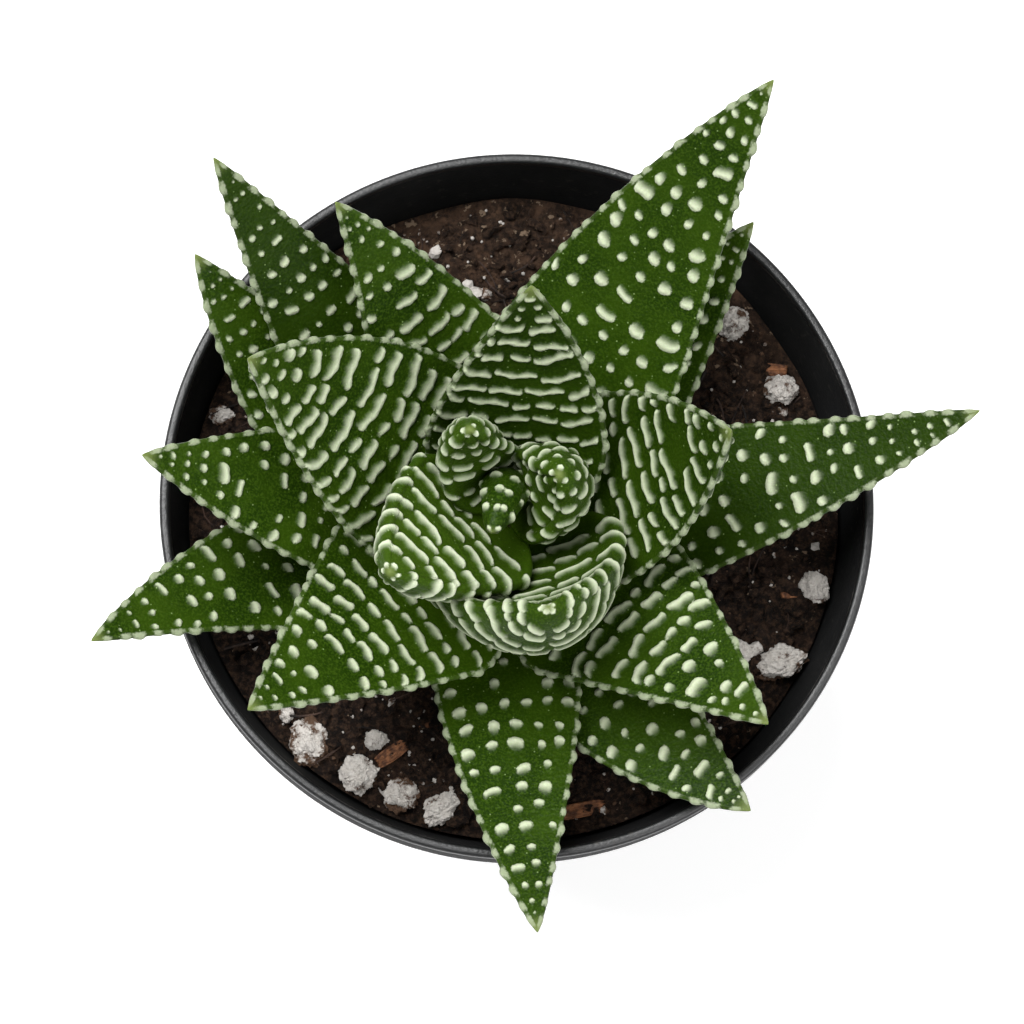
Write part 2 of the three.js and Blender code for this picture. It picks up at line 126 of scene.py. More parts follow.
def new_material(name, **fixed):
    """A material with one Principled shader, its fixed sockets set, and the object's own coordinates."""
    material = bpy.data.materials.new(name)
    material.use_nodes = True
    tree = material.node_tree
    tree.nodes.clear()
    shader = add_node(tree, "ShaderNodeBsdfPrincipled", {k.replace("_", " "): v for k, v in fixed.items()})
    output = add_node(tree, "ShaderNodeOutputMaterial")
    tree.links.new(shader.outputs[0], output.inputs["Surface"])
    place = add_node(tree, "ShaderNodeTexCoord").outputs["Object"]
    return material, tree, shader, place


def add_noise(tree, place, scale, detail=4.0, roughness=0.55):
    """Noise of so many features to a metre, as a value from about 0.3 to 0.7."""
    inputs = {"Vector": place, "Scale": scale, "Detail": detail, "Roughness": roughness}
    return add_node(tree, "ShaderNodeTexNoise", inputs).outputs["Fac"]


def add_range(tree, value, low, high, to_low=0.0, to_high=1.0):
    """A value from low to high, spread smoothly over another range."""
    inputs = {"Value": value, "From Min": low, "From Max": high, "To Min": to_low, "To Max": to_high}
    return add_node(tree, "ShaderNodeMapRange", inputs, interpolation_type="SMOOTHSTEP").outputs["Result"]


def add_blend(tree, factor, first, second):
    """A colour that goes from the first to the second as the factor goes from 0 to 1."""
    mix = add_node(tree, "ShaderNodeMix", data_type="RGBA")
    for socket, value in ((0, factor), (6, first), (7, second)):
        if isinstance(value, bpy.types.NodeSocket):
            tree.links.new(value, mix.inputs[socket])
        else:
            mix.inputs[socket].default_value = (*value, 1) if socket else value
    return mix.outputs[2]


def add_bump(tree, shader, height, distance):
    """Surface relief too fine for the mesh: height from 0 to 1 over a distance in metres."""
    inputs = {"Height": height, "Distance": distance}
    tree.links.new(add_node(tree, "ShaderNodeBump", inputs).outputs[0], shader.inputs["Normal"])


def black_plastic():
    """Black polypropylene, faintly mottled and dusty: matt on its walls, rubbed satin on the rim."""
    material, tree, shader, place = new_material("black_plastic", IOR=1.49, Specular_IOR_Level=0.25)
    height = add_node(tree, "ShaderNodeSeparateXYZ", {"Vector": place}).outputs["Z"]
    rubbed = add_range(tree, height, pot_height - RUBBED_FROM, pot_height - RUBBED_TO)
    mottle = add_range(tree, add_noise(tree, place, scale=180), 0.35, 0.7)
    dust = add_range(tree, add_noise(tree, place, scale=900, detail=8), 0.58, 0.8)
    black = add_blend(tree, mottle, MOULD_BLACK, WORN_BLACK)
    gloss = add_range(tree, rubbed, 0, 1, MATT_GLOSS, SATIN_GLOSS)
    tree.links.new(add_blend(tree, dust, black, POT_DUST), shader.inputs["Base Color"])
    tree.links.new(add_range(tree, rubbed, 0, 1, MATT, SATIN), shader.inputs["Roughness"])
    tree.links.new(gloss, shader.inputs["Specular IOR Level"])
    add_bump(tree, shader, add_noise(tree, place, scale=2600), distance=0.00006)
    return material


def finish_piece(piece, name, material, nodes=()):
    """Names a finished piece, gives it its material, and hands it to the frame."""
    piece.name = name
    piece.data.name = name
    piece.data.materials.clear()
    piece.data.materials.append(material)
    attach(piece, "root")
    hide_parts(*nodes)
    bpy.ops.object.select_all(action="DESELECT")


def start_edit(selection):
    """Opens the active piece's mesh, with all of it selected or none."""
    bpy.ops.object.mode_set(mode="EDIT")
    bpy.ops.mesh.select_all(action=selection)


def extrude_ring(radius_now, radius_next, rise):
    """Extrudes the selected ring of edges upwards and then widens or narrows it."""
    bpy.ops.mesh.extrude_edges_move(TRANSFORM_OT_translate={"value": (0, 0, rise)})
    share = radius_next / radius_now
    bpy.ops.transform.resize(value=(share, share, 1), center_override=(0, 0, 0))


def turn_profile(profile, sides):
    """A turned shell: a circle at the first [radius, height] of a profile, extruded along the rest of it."""
    radius, height = profile[0]
    bpy.ops.mesh.primitive_circle_add(vertices=sides, radius=radius, location=(0, 0, height))
    turned = bpy.context.object
    bpy.ops.object.transform_apply()
    start_edit("SELECT")
    for next_radius, next_height in profile[1:]:
        extrude_ring(radius, next_radius, next_height - height)
        radius, height = next_radius, next_height
    bpy.ops.object.mode_set(mode="OBJECT")
    return turned


def quarter_round(radius, height, size, start, turns=6):
    """Points of a rounded corner about a centre, from a start angle in degrees and a quarter turn on."""
    angles = [math.radians(start + 90 * i / turns) for i in range(turns + 1)]
    return [(radius + size * math.cos(a), height + size * math.sin(a)) for a in angles]


def close_ends(piece):
    """Fills every open ring of a piece, and turns its faces outwards."""
    start_edit("DESELECT")
    bpy.ops.mesh.select_non_manifold()
    bpy.ops.mesh.edge_face_add()
    bpy.ops.mesh.select_all(action="SELECT")
    bpy.ops.mesh.normals_make_consistent(inside=False)
    bpy.ops.object.mode_set(mode="OBJECT")
    return piece


def make_pot():
    """The pot as one profile, from the middle of its underside up its outside and down its inside."""
    lip_inner = rim_radius - POT_WALL
    profile = [
        (FLOOR_RINGS[0], 0),
        (FLOOR_RINGS[1], 0),
        (DRAIN_CIRCLE + DRAIN_FLAT, 0),
        *quarter_round(BASE_RADIUS - FOOT_ROUND * 0.9, FOOT_ROUND, FOOT_ROUND, -90),
        (BASE_RADIUS + wall_slope * lip_foot / 3, lip_foot / 3),
        (BASE_RADIUS + wall_slope * lip_foot * 2 / 3, lip_foot * 2 / 3),
        (wall_top, lip_foot),
        (wall_top + LIP_BREAK, lip_foot + LIP_BREAK / 2),
        (rim_radius - LIP_BREAK, lip_foot + LIP_STEP),
        (rim_radius, lip_foot + LIP_STEP + 2 * LIP_BREAK),
        *quarter_round(rim_radius - RIM_ROUND, pot_height - RIM_ROUND, RIM_ROUND, 0),
        *quarter_round(lip_inner + RIM_ROUND, pot_height - RIM_ROUND, RIM_ROUND, 90),
        (lip_inner - LIP_STEP, lip_foot),
        (inner_radius(lip_foot / 2), lip_foot / 2),
        (inner_radius(POT_FLOOR + FLOOR_CORNER), POT_FLOOR + FLOOR_CORNER),
        (inner_radius(POT_FLOOR) - FLOOR_CORNER, POT_FLOOR),
        (FLOOR_RINGS[1], POT_FLOOR),
        (FLOOR_RINGS[0], POT_FLOOR),
    ]
    return close_ends(turn_profile(profile, POT_SIDES))


def drill_drain_holes(pot):
    """A ring of plain round holes through the pot's floor."""
    for i in range(DRAIN_HOLES):
        angle = 2 * math.pi * (i + 0.5) / DRAIN_HOLES
        place = (DRAIN_CIRCLE * math.cos(angle), DRAIN_CIRCLE * math.sin(angle), 0)
        bpy.ops.mesh.primitive_cylinder_add(
            vertices=DRAIN_SIDES, radius=DRAIN_RADIUS, depth=4 * POT_FLOOR, location=place)
        drill = bpy.context.object
        cut = pot.modifiers.new("drain_hole", "BOOLEAN")
        cut.object = drill
        cut.operation = "DIFFERENCE"
        bpy.context.view_layer.objects.active = pot
        bpy.ops.object.modifier_apply(modifier=cut.name)
        bpy.data.objects.remove(drill)


pot = make_pot()
drill_drain_holes(pot)
bpy.ops.object.select_all(action="DESELECT")
pot.select_set(True)
bpy.context.view_layer.objects.active = pot
bpy.ops.object.shade_smooth_by_angle(angle=math.radians(CREASE_ANGLE))
finish_piece(pot, "nursery_pot", black_plastic(), ["pot"])


# ---- Soil ----
# Damp peat that fills the pot to a finger's width below the rim. It is clotted and pitted, and was pressed in
# by hand round the plant, so its top rolls a little and falls away at the wall.

SOIL_TOP = 0.063
SOIL_FOOT = 0.0019
SOIL_RELIEF = 0.0009
SOIL_STEPS = 270
SOIL_EDGE_FROM = 0.85
SOIL_EDGE_DROP = 0.008
SOIL_COLLAR = 0.012
CALM_EDGE = 0.002
CALM_LEVELS = 10
TOP_GAP, SIDE_GAP = 0.0002, 0.0003
LONG_SWELL, SHORT_SWELL = (0.0055, 0.0070), (0.0029, 0.0037)
# Relief pressed into the top: its name, the size of its lumps, and how far it moves the skin.
SOIL_CLODS = (("clods", 0.0058, 0.0018), ("lumps", 0.0022, 0.0009), ("grains", 0.0008, 0.0009))
BACK_FROM, BACK_TO = 0.008, 0.030
WET_PEAT = ((0.0050, 0.0031, 0.0023), (0.026, 0.0135, 0.0088))
DRIED_PEAT = ((0.026, 0.0145, 0.0090), (0.115, 0.064, 0.038))
# Painted shade: the near-black of blotches that stand for shaded hollows in the peat.
PAINTED_HOLLOW_SHADE = (0.005, 0.003, 0.0022)
PEAT_FLECK = (0.088, 0.050, 0.030)
PEAT_GRIT = (0.26, 0.185, 0.125)


def soil_height(x, y):
    """Height of the soil's top, in low swells with a dip round the edge."""
    long_swell = np.sin(x / LONG_SWELL[0] + 1) * np.cos(y / LONG_SWELL[1] + 0.4)
    swell = long_swell + 0.6 * np.sin(x / SHORT_SWELL[0] - y / SHORT_SWELL[1])
    edge = np.maximum(0, np.hypot(x, y) / inner_radius(SOIL_TOP) - SOIL_EDGE_FROM)
    return SOIL_TOP + SOIL_RELIEF * swell - SOIL_EDGE_DROP * edge


def read_points(piece):
    """The places of a piece's vertices, as one array."""
    points = np.empty(3 * len(piece.data.vertices))
    piece.data.vertices.foreach_get("co", points)
    return points.reshape(-1, 3)


def write_points(piece, points):
    piece.data.vertices.foreach_set("co", points.ravel())
    piece.data.update()


def displace(piece, name, size, strength, group=""):
    """Pushes a piece's skin in and out by clouds of one size, and applies it."""
    texture = bpy.data.textures.new(name, "CLOUDS")
    texture.noise_scale = size
    texture.noise_depth = 2
    modifier = piece.modifiers.new(name, "DISPLACE")
    modifier.texture = texture
    modifier.texture_coords = "LOCAL"
    modifier.strength = strength
    modifier.vertex_group = group
    bpy.context.view_layer.objects.active = piece
    bpy.ops.object.modifier_apply(modifier=name)


def add_math(tree, operation, first, second):
    """Two values added, subtracted or multiplied."""
    return add_node(tree, "ShaderNodeMath", {0: first, 1: second}, operation=operation).outputs[0]


def damp_peat():
    """Dark brown peat: near black where it is wet, with painted shade in blotches that stand for shaded
    hollows, and red-brown where it has dried, mostly at the back.
    """
    material, tree, shader, place = new_material("damp_peat", Specular_IOR_Level=0.2)
    towards_back = add_node(tree, "ShaderNodeSeparateXYZ", {"Vector": place}).outputs["Y"]
    back = add_range(tree, towards_back, BACK_FROM, BACK_TO)
    patches = add_range(tree, add_noise(tree, place, scale=210, roughness=0.6), 0.40, 0.64)
    fine = add_range(tree, add_noise(tree, place, scale=1300, detail=8, roughness=0.75), 0.44, 0.64)
    brown = add_blend(tree, back, add_blend(tree, patches, *WET_PEAT), add_blend(tree, patches, *DRIED_PEAT))
    # Painted shade in blotches that stand for hollows among the clods.
    pitted = add_noise(tree, place, scale=560, detail=5, roughness=0.7)
    hollow_shade_mask = add_range(tree, pitted, 0.56, 0.42, 0, 0.75)
    hollow_shaded = add_blend(tree, hollow_shade_mask, brown, PAINTED_HOLLOW_SHADE)
    flecked = add_blend(tree, add_math(tree, "MULTIPLY", fine, 0.8), hollow_shaded, PEAT_FLECK)
    rarity = add_range(tree, back, 0, 1, 0.68, 0.61)
    gritty = add_noise(tree, place, scale=760, detail=3)
    grit = add_range(tree, add_math(tree, "SUBTRACT", gritty, rarity), 0, 0.05)
    tree.links.new(add_blend(tree, grit, flecked, PEAT_GRIT), shader.inputs["Base Color"])
    tree.links.new(add_range(tree, patches, 0, 1, 0.6, 0.95), shader.inputs["Roughness"])
    add_bump(tree, shader, add_noise(tree, place, scale=2200, detail=8, roughness=0.8), distance=0.0008)
    return material


def make_soil():
    """A fine grid drawn out round, with clods on top and its edge drawn down to the pot's floor."""
    bpy.ops.mesh.primitive_grid_add(x_subdivisions=SOIL_STEPS, y_subdivisions=SOIL_STEPS, size=2)
    soil = bpy.context.object
    points = read_points(soil)
    radius = inner_radius(SOIL_TOP - 3 * SOIL_RELIEF) - TOP_GAP
    x = points[:, 0] * np.sqrt(1 - points[:, 1] ** 2 / 2) * radius
    y = points[:, 1] * np.sqrt(1 - points[:, 0] ** 2 / 2) * radius
    write_points(soil, np.column_stack([x, y, soil_height(x, y)]))
    away_from_wall = np.clip((radius - np.hypot(x, y)) / CALM_EDGE, 0, 1)
    surface = soil.vertex_groups.new(name="surface")
    for level in range(1, CALM_LEVELS + 1):
        members = np.flatnonzero(np.ceil(away_from_wall * CALM_LEVELS) == level)
        surface.add(members.tolist(), level / CALM_LEVELS, "REPLACE")
    for name, size, strength in SOIL_CLODS:
        displace(soil, name, size, strength, "surface")
    start_edit("DESELECT")
    bpy.ops.mesh.select_non_manifold()
    for low in (SOIL_TOP - SOIL_COLLAR, SOIL_FOOT):
        bpy.ops.mesh.extrude_edges_move(TRANSFORM_OT_translate={"value": (0, 0, -0.001)})
        bpy.ops.transform.resize(value=(1, 1, 0), center_override=(0, 0, low))
        share = (inner_radius(low) - SIDE_GAP) / radius
        bpy.ops.transform.resize(value=(share, share, 1), center_override=(0, 0, low))
        radius *= share
    bpy.ops.mesh.edge_face_add()
    bpy.ops.object.mode_set(mode="OBJECT")
    bpy.ops.object.shade_smooth()
    return soil


soil = make_soil()
peat = damp_peat()
finish_piece(soil, "potting_mix", peat, ["soil"])


# ---- Crumbs, fibres, bark and perlite ----
# What lies loose on the peat: crumbs and threads of peat, split chips of bark, and grains of perlite, a white
# volcanic glass that was puffed by heat, so that each grain is a rounded, pitted lump.

CRUMBS = 3900
SPECKS = 900
FIBRES = 260
SMALL_PERLITE = 110
PERLITE = (
    # place from the pot's axis, half sizes and turn, in millimetres and degrees
    (-24.4, -27.9, (2.3, 2.7, 1.8), 20),
    (-18.6, -31.8, (2.2, 2.1, 1.8), 65),
    (-13.6, -33.9, (2.0, 1.9, 1.6), 10),
    (-16.7, -27.6, (1.2, 1.2, 1.0), 0),
    (-27.3, -24.2, (0.9, 1.5, 1.0), 15),
    (-8.8, -35.7, (2.3, 1.8, 1.6), 40),
    (26.4, 23.7, (1.8, 2.9, 1.8), 15),
    (32.4, 15.8, (1.9, 2.8, 1.7), -20),
    (31.7, -17.7, (2.7, 2.0, 1.8), 5),
    (27.1, -16.5, (1.3, 1.6, 1.2), 50),
    (36.2, -8.6, (1.5, 1.8, 1.5), 30),
    (-35.6, 12.2, (1.4, 1.1, 1.0), 0),
)
BARK = (
    # as for the perlite
    (-14.8, -29.2, (1.9, 0.9, 0.7), 35),
    (7.8, -35.7, (2.9, 0.9, 0.8), 12),
    (22.0, 29.0, (2.4, 1.0, 0.8), -40),
)
SPLINTERS = 22
CRUMB_SHAPES, PERLITE_SHAPES, SMALL_SHAPES = 6, 5, 2
LUMP_WAVES, LUMP_PITCH = 6, 2.2
CRUMB_ROUNDING, CRUMB_TEAR = 0.6, 0.34
THREAD_BENDS = (0.25, 0.5, 0.9)
THREAD_CUTS = 6
THREAD_THICKNESS = 0.035
PERLITE_RELIEF = (("facets", 0.75, 0.75), ("pits", 0.22, -0.26))
SUNK = 0.35
CHIP_CUTS = 14
BURIED_UP_TO, CLEAR_FROM = -0.0006, 0.0012
PERLITE_GREY, PERLITE_WHITE = (0.44, 0.40, 0.36), (0.76, 0.73, 0.69)
PEAT_STAIN = (0.10, 0.058, 0.036)
BARK_DARK, BARK_RED = (0.070, 0.025, 0.010), (0.26, 0.105, 0.042)
THREAD_DARK, THREAD_BROWN = (0.006, 0.0038, 0.0028), (0.060, 0.032, 0.021)
MM = 0.001
rng = random.Random(41)


def soil_surface(x, y):
    """Height of the peat as modelled, clods and all, found by dropping a plumb line on it."""
    hit, place, _, _ = soil.ray_cast(Vector((x, y, 0.2)), Vector((0, 0, -1)))
    return place.z if hit else SOIL_TOP


def random_spot(spread=1.0):
    """A place on the soil, even over its area."""
    radius = (inner_radius(SOIL_TOP) - 0.002) * math.sqrt(rng.random()) * spread
    angle = rng.uniform(0, 2 * math.pi)
    return radius * math.cos(angle), radius * math.sin(angle)


def rough_lump(subdivisions, roughness, seed):
    """A lump about 1 in radius: an icosphere with its points pushed in and out."""
    bpy.ops.mesh.primitive_ico_sphere_add(subdivisions=subdivisions, radius=1)
    made = bpy.context.object
    points = read_points(made)
    generator = np.random.default_rng(seed)
    waves = generator.normal(size=(LUMP_WAVES, 3)) * LUMP_PITCH
    phases = generator.uniform(0, 2 * math.pi, LUMP_WAVES)
    swell = roughness * 2 * np.sin(points @ waves.T + phases).mean(axis=1)
    grit = roughness * generator.normal(size=len(points)) / 4
    write_points(made, points * (1 + swell + grit)[:, None])
    return made


def joined_copies(originals, places):
    """One mesh of many copies. Each place is (which original, position, turns, half sizes)."""
    shapes = []
    for original in originals:
        points = read_points(original)
        faces = [tuple(p.vertices) for p in original.data.polygons]
        shapes.append((points, faces))
    points, faces, count = [], [], 0
    for which, position, turns, sizes in places:
        shape, shape_faces = shapes[which]
        turn = np.array(Matrix.Rotation(turns[2], 3, "Z") @ Matrix.Rotation(turns[1], 3, "Y")
                        @ Matrix.Rotation(turns[0], 3, "X"))
        points.append((shape * np.array(sizes)) @ turn.T + np.array(position))
        faces.extend(tuple(i + count for i in face) for face in shape_faces)
        count += len(shape)
    mesh = bpy.data.meshes.new("copies")
    mesh.from_pydata(np.concatenate(points), [], faces)
    piece = bpy.data.objects.new("copies", mesh)
    bpy.context.scene.collection.objects.link(piece)
    for original in originals:
        bpy.data.objects.remove(original)
    return piece


def any_turn():
    return [rng.uniform(0, 2 * math.pi) for _ in range(3)]


def mostly_small(least, most, rarity):
    """A random size, of which the larger ones are rare."""
    return least + (most - least) * rng.random() ** rarity


def cut_all_over(piece, cuts):
    """Subdivides every face of a piece."""
    start_edit("SELECT")
    bpy.ops.mesh.subdivide(number_cuts=cuts)
    bpy.ops.object.mode_set(mode="OBJECT")
    return read_points(piece)


def torn_crumb(seed):
    """A crumb about 1 in half size: a cube cut once each way, its corners torn out of line."""
    bpy.ops.mesh.primitive_cube_add(size=2)
    made = bpy.context.object
    points = cut_all_over(made, 1)
    rounding = np.linalg.norm(points, axis=1, keepdims=True) ** CRUMB_ROUNDING
    generator = np.random.default_rng(seed)
    write_points(made, points / rounding + generator.uniform(-CRUMB_TEAR, CRUMB_TEAR, points.shape))
    return made


def make_crumbs():
    """Crumbs of peat, turned every way, most of them small."""
    places = []
    for _ in range(CRUMBS):
        x, y = random_spot()
        size = mostly_small(0.0002, 0.0011, rarity=3.5)
        sizes = [size * rng.uniform(0.6, 1.6), size * rng.uniform(0.6, 1.2), size * rng.uniform(0.4, 0.8)]
        which = rng.randrange(CRUMB_SHAPES)
        places.append((which, (x, y, soil_surface(x, y) + 0.1 * size), any_turn(), sizes))
    return joined_copies([torn_crumb(seed) for seed in range(CRUMB_SHAPES)], places)


def make_specks():
    """Tiny bits of broken perlite and sand."""
    places = []
    for _ in range(SPECKS):
        x, y = random_spot()
        size = rng.uniform(0.00012, 0.00030)
        places.append((0, (x, y, soil_surface(x, y) + 0.5 * size), any_turn(), [size] * 3))
    return joined_copies([rough_lump(1, 0.2, 5)], places)


def make_fibres():
    """Threads of peat: thin bent four-sided rods, their long edges cut and every ring set over."""
    threads = []
    for bend in THREAD_BENDS:
        bpy.ops.mesh.primitive_cylinder_add(vertices=4, radius=1, depth=2, end_fill_type="TRIFAN")
        thread = bpy.context.object
        start_edit("DESELECT")
        shape = bmesh.from_edit_mesh(thread.data)
        for edge in shape.edges:
            edge.select_set(abs(edge.verts[0].co.z - edge.verts[1].co.z) > 1)
        bpy.ops.mesh.subdivide(number_cuts=THREAD_CUTS)
        bpy.ops.object.mode_set(mode="OBJECT")
        points = read_points(thread)
        points[:, 0] = points[:, 0] * THREAD_THICKNESS + bend * (1 - points[:, 2] ** 2) * 0.5
        points[:, 1] = points[:, 1] * THREAD_THICKNESS + bend * 0.2 * np.sin(3 * points[:, 2])
        write_points(thread, points)
        threads.append(thread)
    places = []
    for _ in range(FIBRES):
        x, y = random_spot(0.97)
        length = rng.uniform(0.0012, 0.0045)
        turns = (math.pi / 2 + rng.uniform(-0.2, 0.2), rng.uniform(-0.5, 0.5), rng.uniform(0, 2 * math.pi))
        thickness = length * rng.uniform(0.6, 1.2)
        which = rng.randrange(len(THREAD_BENDS))
        height = soil_surface(x, y) + 0.0002
        places.append((which, (x, y, height), turns, (thickness, length, length)))
    return joined_copies(threads, places)


def seen_place(x, y, sizes):
    """Where a grain or chip that the photo shows lies, sunk in the swells of the peat, and its half sizes."""
    x, y = x * MM, y * MM
    return (x, y, soil_height(x, y) + SUNK * sizes[2] * MM), [size * MM for size in sizes]


def make_perlite():
    """The large pitted grains where the photo shows them, and small broken ones all over."""
    originals = []
    for seed in range(PERLITE_SHAPES):
        grain = rough_lump(5, 0.13, seed)
        for name, size, strength in PERLITE_RELIEF:
            displace(grain, name, size, strength)
        originals.append(grain)
    small = [torn_crumb(20 + seed) for seed in range(SMALL_SHAPES)]
    places = []
    for i, (x, y, sizes, turn) in enumerate(PERLITE):
        place, half_sizes = seen_place(x, y, sizes)
        places.append((i % PERLITE_SHAPES, place, (0.3 * i, 0, math.radians(turn)), half_sizes))
    for i in range(SMALL_PERLITE):
        x, y = random_spot()
        size = mostly_small(0.0003, 0.0012, rarity=2.5)
        which = PERLITE_SHAPES + i % SMALL_SHAPES
        height = soil_surface(x, y) + 0.3 * size
        places.append((which, (x, y, height), any_turn(), [size, size, 0.8 * size]))
    return joined_copies(originals + small, places)


def make_bark():
    """Split chips: boxes with their grain broken up along their length."""
    originals = []
    for seed in range(len(BARK)):
        bpy.ops.mesh.primitive_cube_add(size=2)
        chip = bpy.context.object
        points = cut_all_over(chip, CHIP_CUTS)
        grain = np.sin(9 * points[:, 1] + seed) * 0.12 + np.sin(23 * points[:, 1] + 3 * points[:, 0]) * 0.06
        points[:, 2] = points[:, 2] * (0.8 + grain)
        points[:, 0] += 0.10 * np.sin(14 * points[:, 1] + 5 * points[:, 2]) * np.sign(points[:, 0])
        points[:, 1] *= 1 - 0.18 * points[:, 0] ** 2
        write_points(chip, points)
        originals.append(chip)
    places = []
    for i, (x, y, sizes, turn) in enumerate(BARK):
        place, half_sizes = seen_place(x, y, sizes)
        places.append((i, place, (0.1, 0.12, math.radians(turn)), half_sizes))
    for i in range(SPLINTERS):
        x, y = random_spot()
        size = rng.uniform(0.0008, 0.0019)
        turns = (rng.uniform(-0.4, 0.4), rng.uniform(-0.4, 0.4), rng.uniform(0, 2 * math.pi))
        places.append((i % len(BARK), (x, y, soil_surface(x, y)), turns, (size, 0.4 * size, 0.22 * size)))
    return joined_copies(originals, places)


def white_perlite():
    """Chalky white glass foam, stained brown by peat in its pits and where it sits in the soil."""
    material, tree, shader, place = new_material("white_perlite", Roughness=0.9, Specular_IOR_Level=0.2)
    height = add_node(tree, "ShaderNodeSeparateXYZ", {"Vector": place}).outputs["Z"]
    buried = add_range(tree, height, SOIL_TOP + CLEAR_FROM, SOIL_TOP + BURIED_UP_TO)
    blotches = add_noise(tree, place, scale=420, detail=8, roughness=0.7)
    inputs = {0: buried, 1: 0.14, 2: blotches}
    soiled = add_node(tree, "ShaderNodeMath", inputs, operation="MULTIPLY_ADD").outputs[0]
    stain = add_range(tree, soiled, 0.53, 0.64)
    chalk = add_blend(tree, add_noise(tree, place, scale=2000), PERLITE_GREY, PERLITE_WHITE)
    tree.links.new(add_blend(tree, stain, chalk, PEAT_STAIN), shader.inputs["Base Color"])
    add_bump(tree, shader, add_noise(tree, place, scale=2500, detail=6, roughness=0.7), distance=0.0004)
    return material


def red_bark():
    """Red-brown pine bark with darker grain."""
    material, tree, shader, place = new_material("red_bark", Roughness=0.75)
    grain = add_range(tree, add_noise(tree, place, scale=1400, detail=6), 0.35, 0.65)
    tree.links.new(add_blend(tree, grain, BARK_DARK, BARK_RED), shader.inputs["Base Color"])
    add_bump(tree, shader, add_noise(tree, place, scale=2400, detail=6), distance=0.0003)
    return material


def dry_peat():
    """The colour of threads that have begun to dry: a little lighter and redder than the mass."""
    material, tree, shader, place = new_material("dry_peat", Roughness=0.9)
    tone = add_range(tree, add_noise(tree, place, scale=420, detail=5), 0.36, 0.66)
    tree.links.new(add_blend(tree, tone, THREAD_DARK, THREAD_BROWN), shader.inputs["Base Color"])
    add_bump(tree, shader, add_noise(tree, place, scale=2600, detail=6), distance=0.0004)
    return material


chalky = white_perlite()
finish_piece(make_crumbs(), "peat_crumbs", peat, ["soil"])
finish_piece(make_fibres(), "peat_fibres", dry_peat(), ["soil"])
finish_piece(make_specks(), "perlite_dust", chalky, ["soil"])
finish_piece(make_perlite(), "perlite_grains", chalky, ["soil"])
finish_piece(make_bark(), "bark_chips", red_bark(), ["soil"])


# ---- Stem ----
# The short fleshy core that every leaf grows from, rooted in the soil. It leans with the rosette, and the
# leaves' feet hide nearly all of it.

STEM_X, STEM_Y = -2.2, -4.2
STEM_COLLAR, STEM_TOP = 65.0, 90.0
STEM_BEND = 2.5
# Heights and radii up the stem, in millimetres.
STEM_RADII = ((55.0, 5.0), (65.0, 5.0), (72.0, 3.6), (77.5, 2.3), (84.0, 1.4), (90.0, 0.6))
STEM_SIDES = 32
STEM_GREEN, LEAF_SCARS = (0.16, 0.19, 0.06), (0.10, 0.07, 0.03)


def stem_centre(z):
    """Centre of the stem at a height, in millimetres."""
    lift = max(0.0, z - STEM_COLLAR) / (STEM_TOP - STEM_COLLAR)
    return STEM_X, STEM_Y + STEM_BEND * lift ** 2


def pale_flesh():
    """The pale green of plant tissue that no light reaches, with brown scars where old leaves sat."""
    material, tree, shader, place = new_material("pale_flesh", Roughness=0.6)
    scars = add_range(tree, add_noise(tree, place, scale=500), 0.4, 0.7)
    tree.links.new(add_blend(tree, scars, STEM_GREEN, LEAF_SCARS), shader.inputs["Base Color"])
    add_bump(tree, shader, add_noise(tree, place, scale=900), distance=0.0006)
    return material


def make_stem():
    """The stem: a turned shell, closed at both ends and bent over by its own height."""
    profile = [(radius * MM, height * MM) for height, radius in STEM_RADII]
    stem = close_ends(turn_profile(profile, STEM_SIDES))
    points = read_points(stem)
    centres = np.array([stem_centre(z / MM) for z in points[:, 2]]) * MM
    points[:, :2] += centres
    write_points(stem, points)
    bpy.ops.object.shade_smooth()
    return stem


finish_piece(make_stem(), "stem_core", pale_flesh(), ["stem"])


# ---- Leaves ----
# Twenty stiff, fleshy leaves in a rosette. Each is a dark green lens in section with a toothed white margin,
# and carries rows of raised white tubercles: dots on the oldest leaves, bars and then bands nearer the heart.

# Shape of every leaf, in shares of its width, depth and length, and then in millimetres.
UPPER_BULGE = 0.12
POINT_SHARE = 0.7
FOOT_WAIST = 0.5
FOOT_DEPTH = 0.35
FULL_FROM = 0.45
TIP_SHARE = 1 / 3
FOOT_OUTER, FOOT_INNER = 6.5, 1.5
UPPER_STEP, UNDER_STEP, MARGIN_STEP = 0.20, 0.36, 0.22

# What the leaves of each turn of the rosette share. sweep: how far the heading turns on the way. wrap: how
# far each half curls round the rosette. taper: 1 is a straight-sided point and 2 a rounded one. fill: how far
# flesh fills the curl. marks: its kind of tubercle. pitch: from one row of them to the next, at the foot and
# at the tip. thick: depth against width. margin: thickness at the edge. blunt: 0 is a flat leaf with a sharp
# end, and 0.5 a plump one with a round end. dark: how much painted shade deepens its green, partly
# its own tone, or below 0 how much painted light brightens it. coarse: size of its tubercles against the
# usual. lean: how far its rows run aslant.
OUTER = dict(
    sweep=0, wrap=12, taper=1.3, fill=0, marks="dots", pitch=(3.2, 2.5), thick=0.16, margin=0.7, blunt=0,
    dark=0, coarse=1, lean=0)
MIDDLE = dict(OUTER, taper=1.2, marks="bars", pitch=(3.0, 2.5))
INNER = dict(OUTER, taper=1.5, fill=0.2, marks="strips", pitch=(2.9, 2.5))
UPRIGHT = dict(INNER, wrap=28, taper=1.3, fill=0.3, marks="bands", pitch=(2.8, 2.2))
CRESCENT = dict(
    UPRIGHT, wrap=42, taper=1.8, fill=0.9, marks="ribs", pitch=(3.2, 3.0), thick=0.30, margin=1.6, blunt=0.5)
HOOD = dict(CRESCENT, wrap=50, taper=1.8, fill=1, marks="beads", pitch=(3.3, 2.9), thick=0.4)
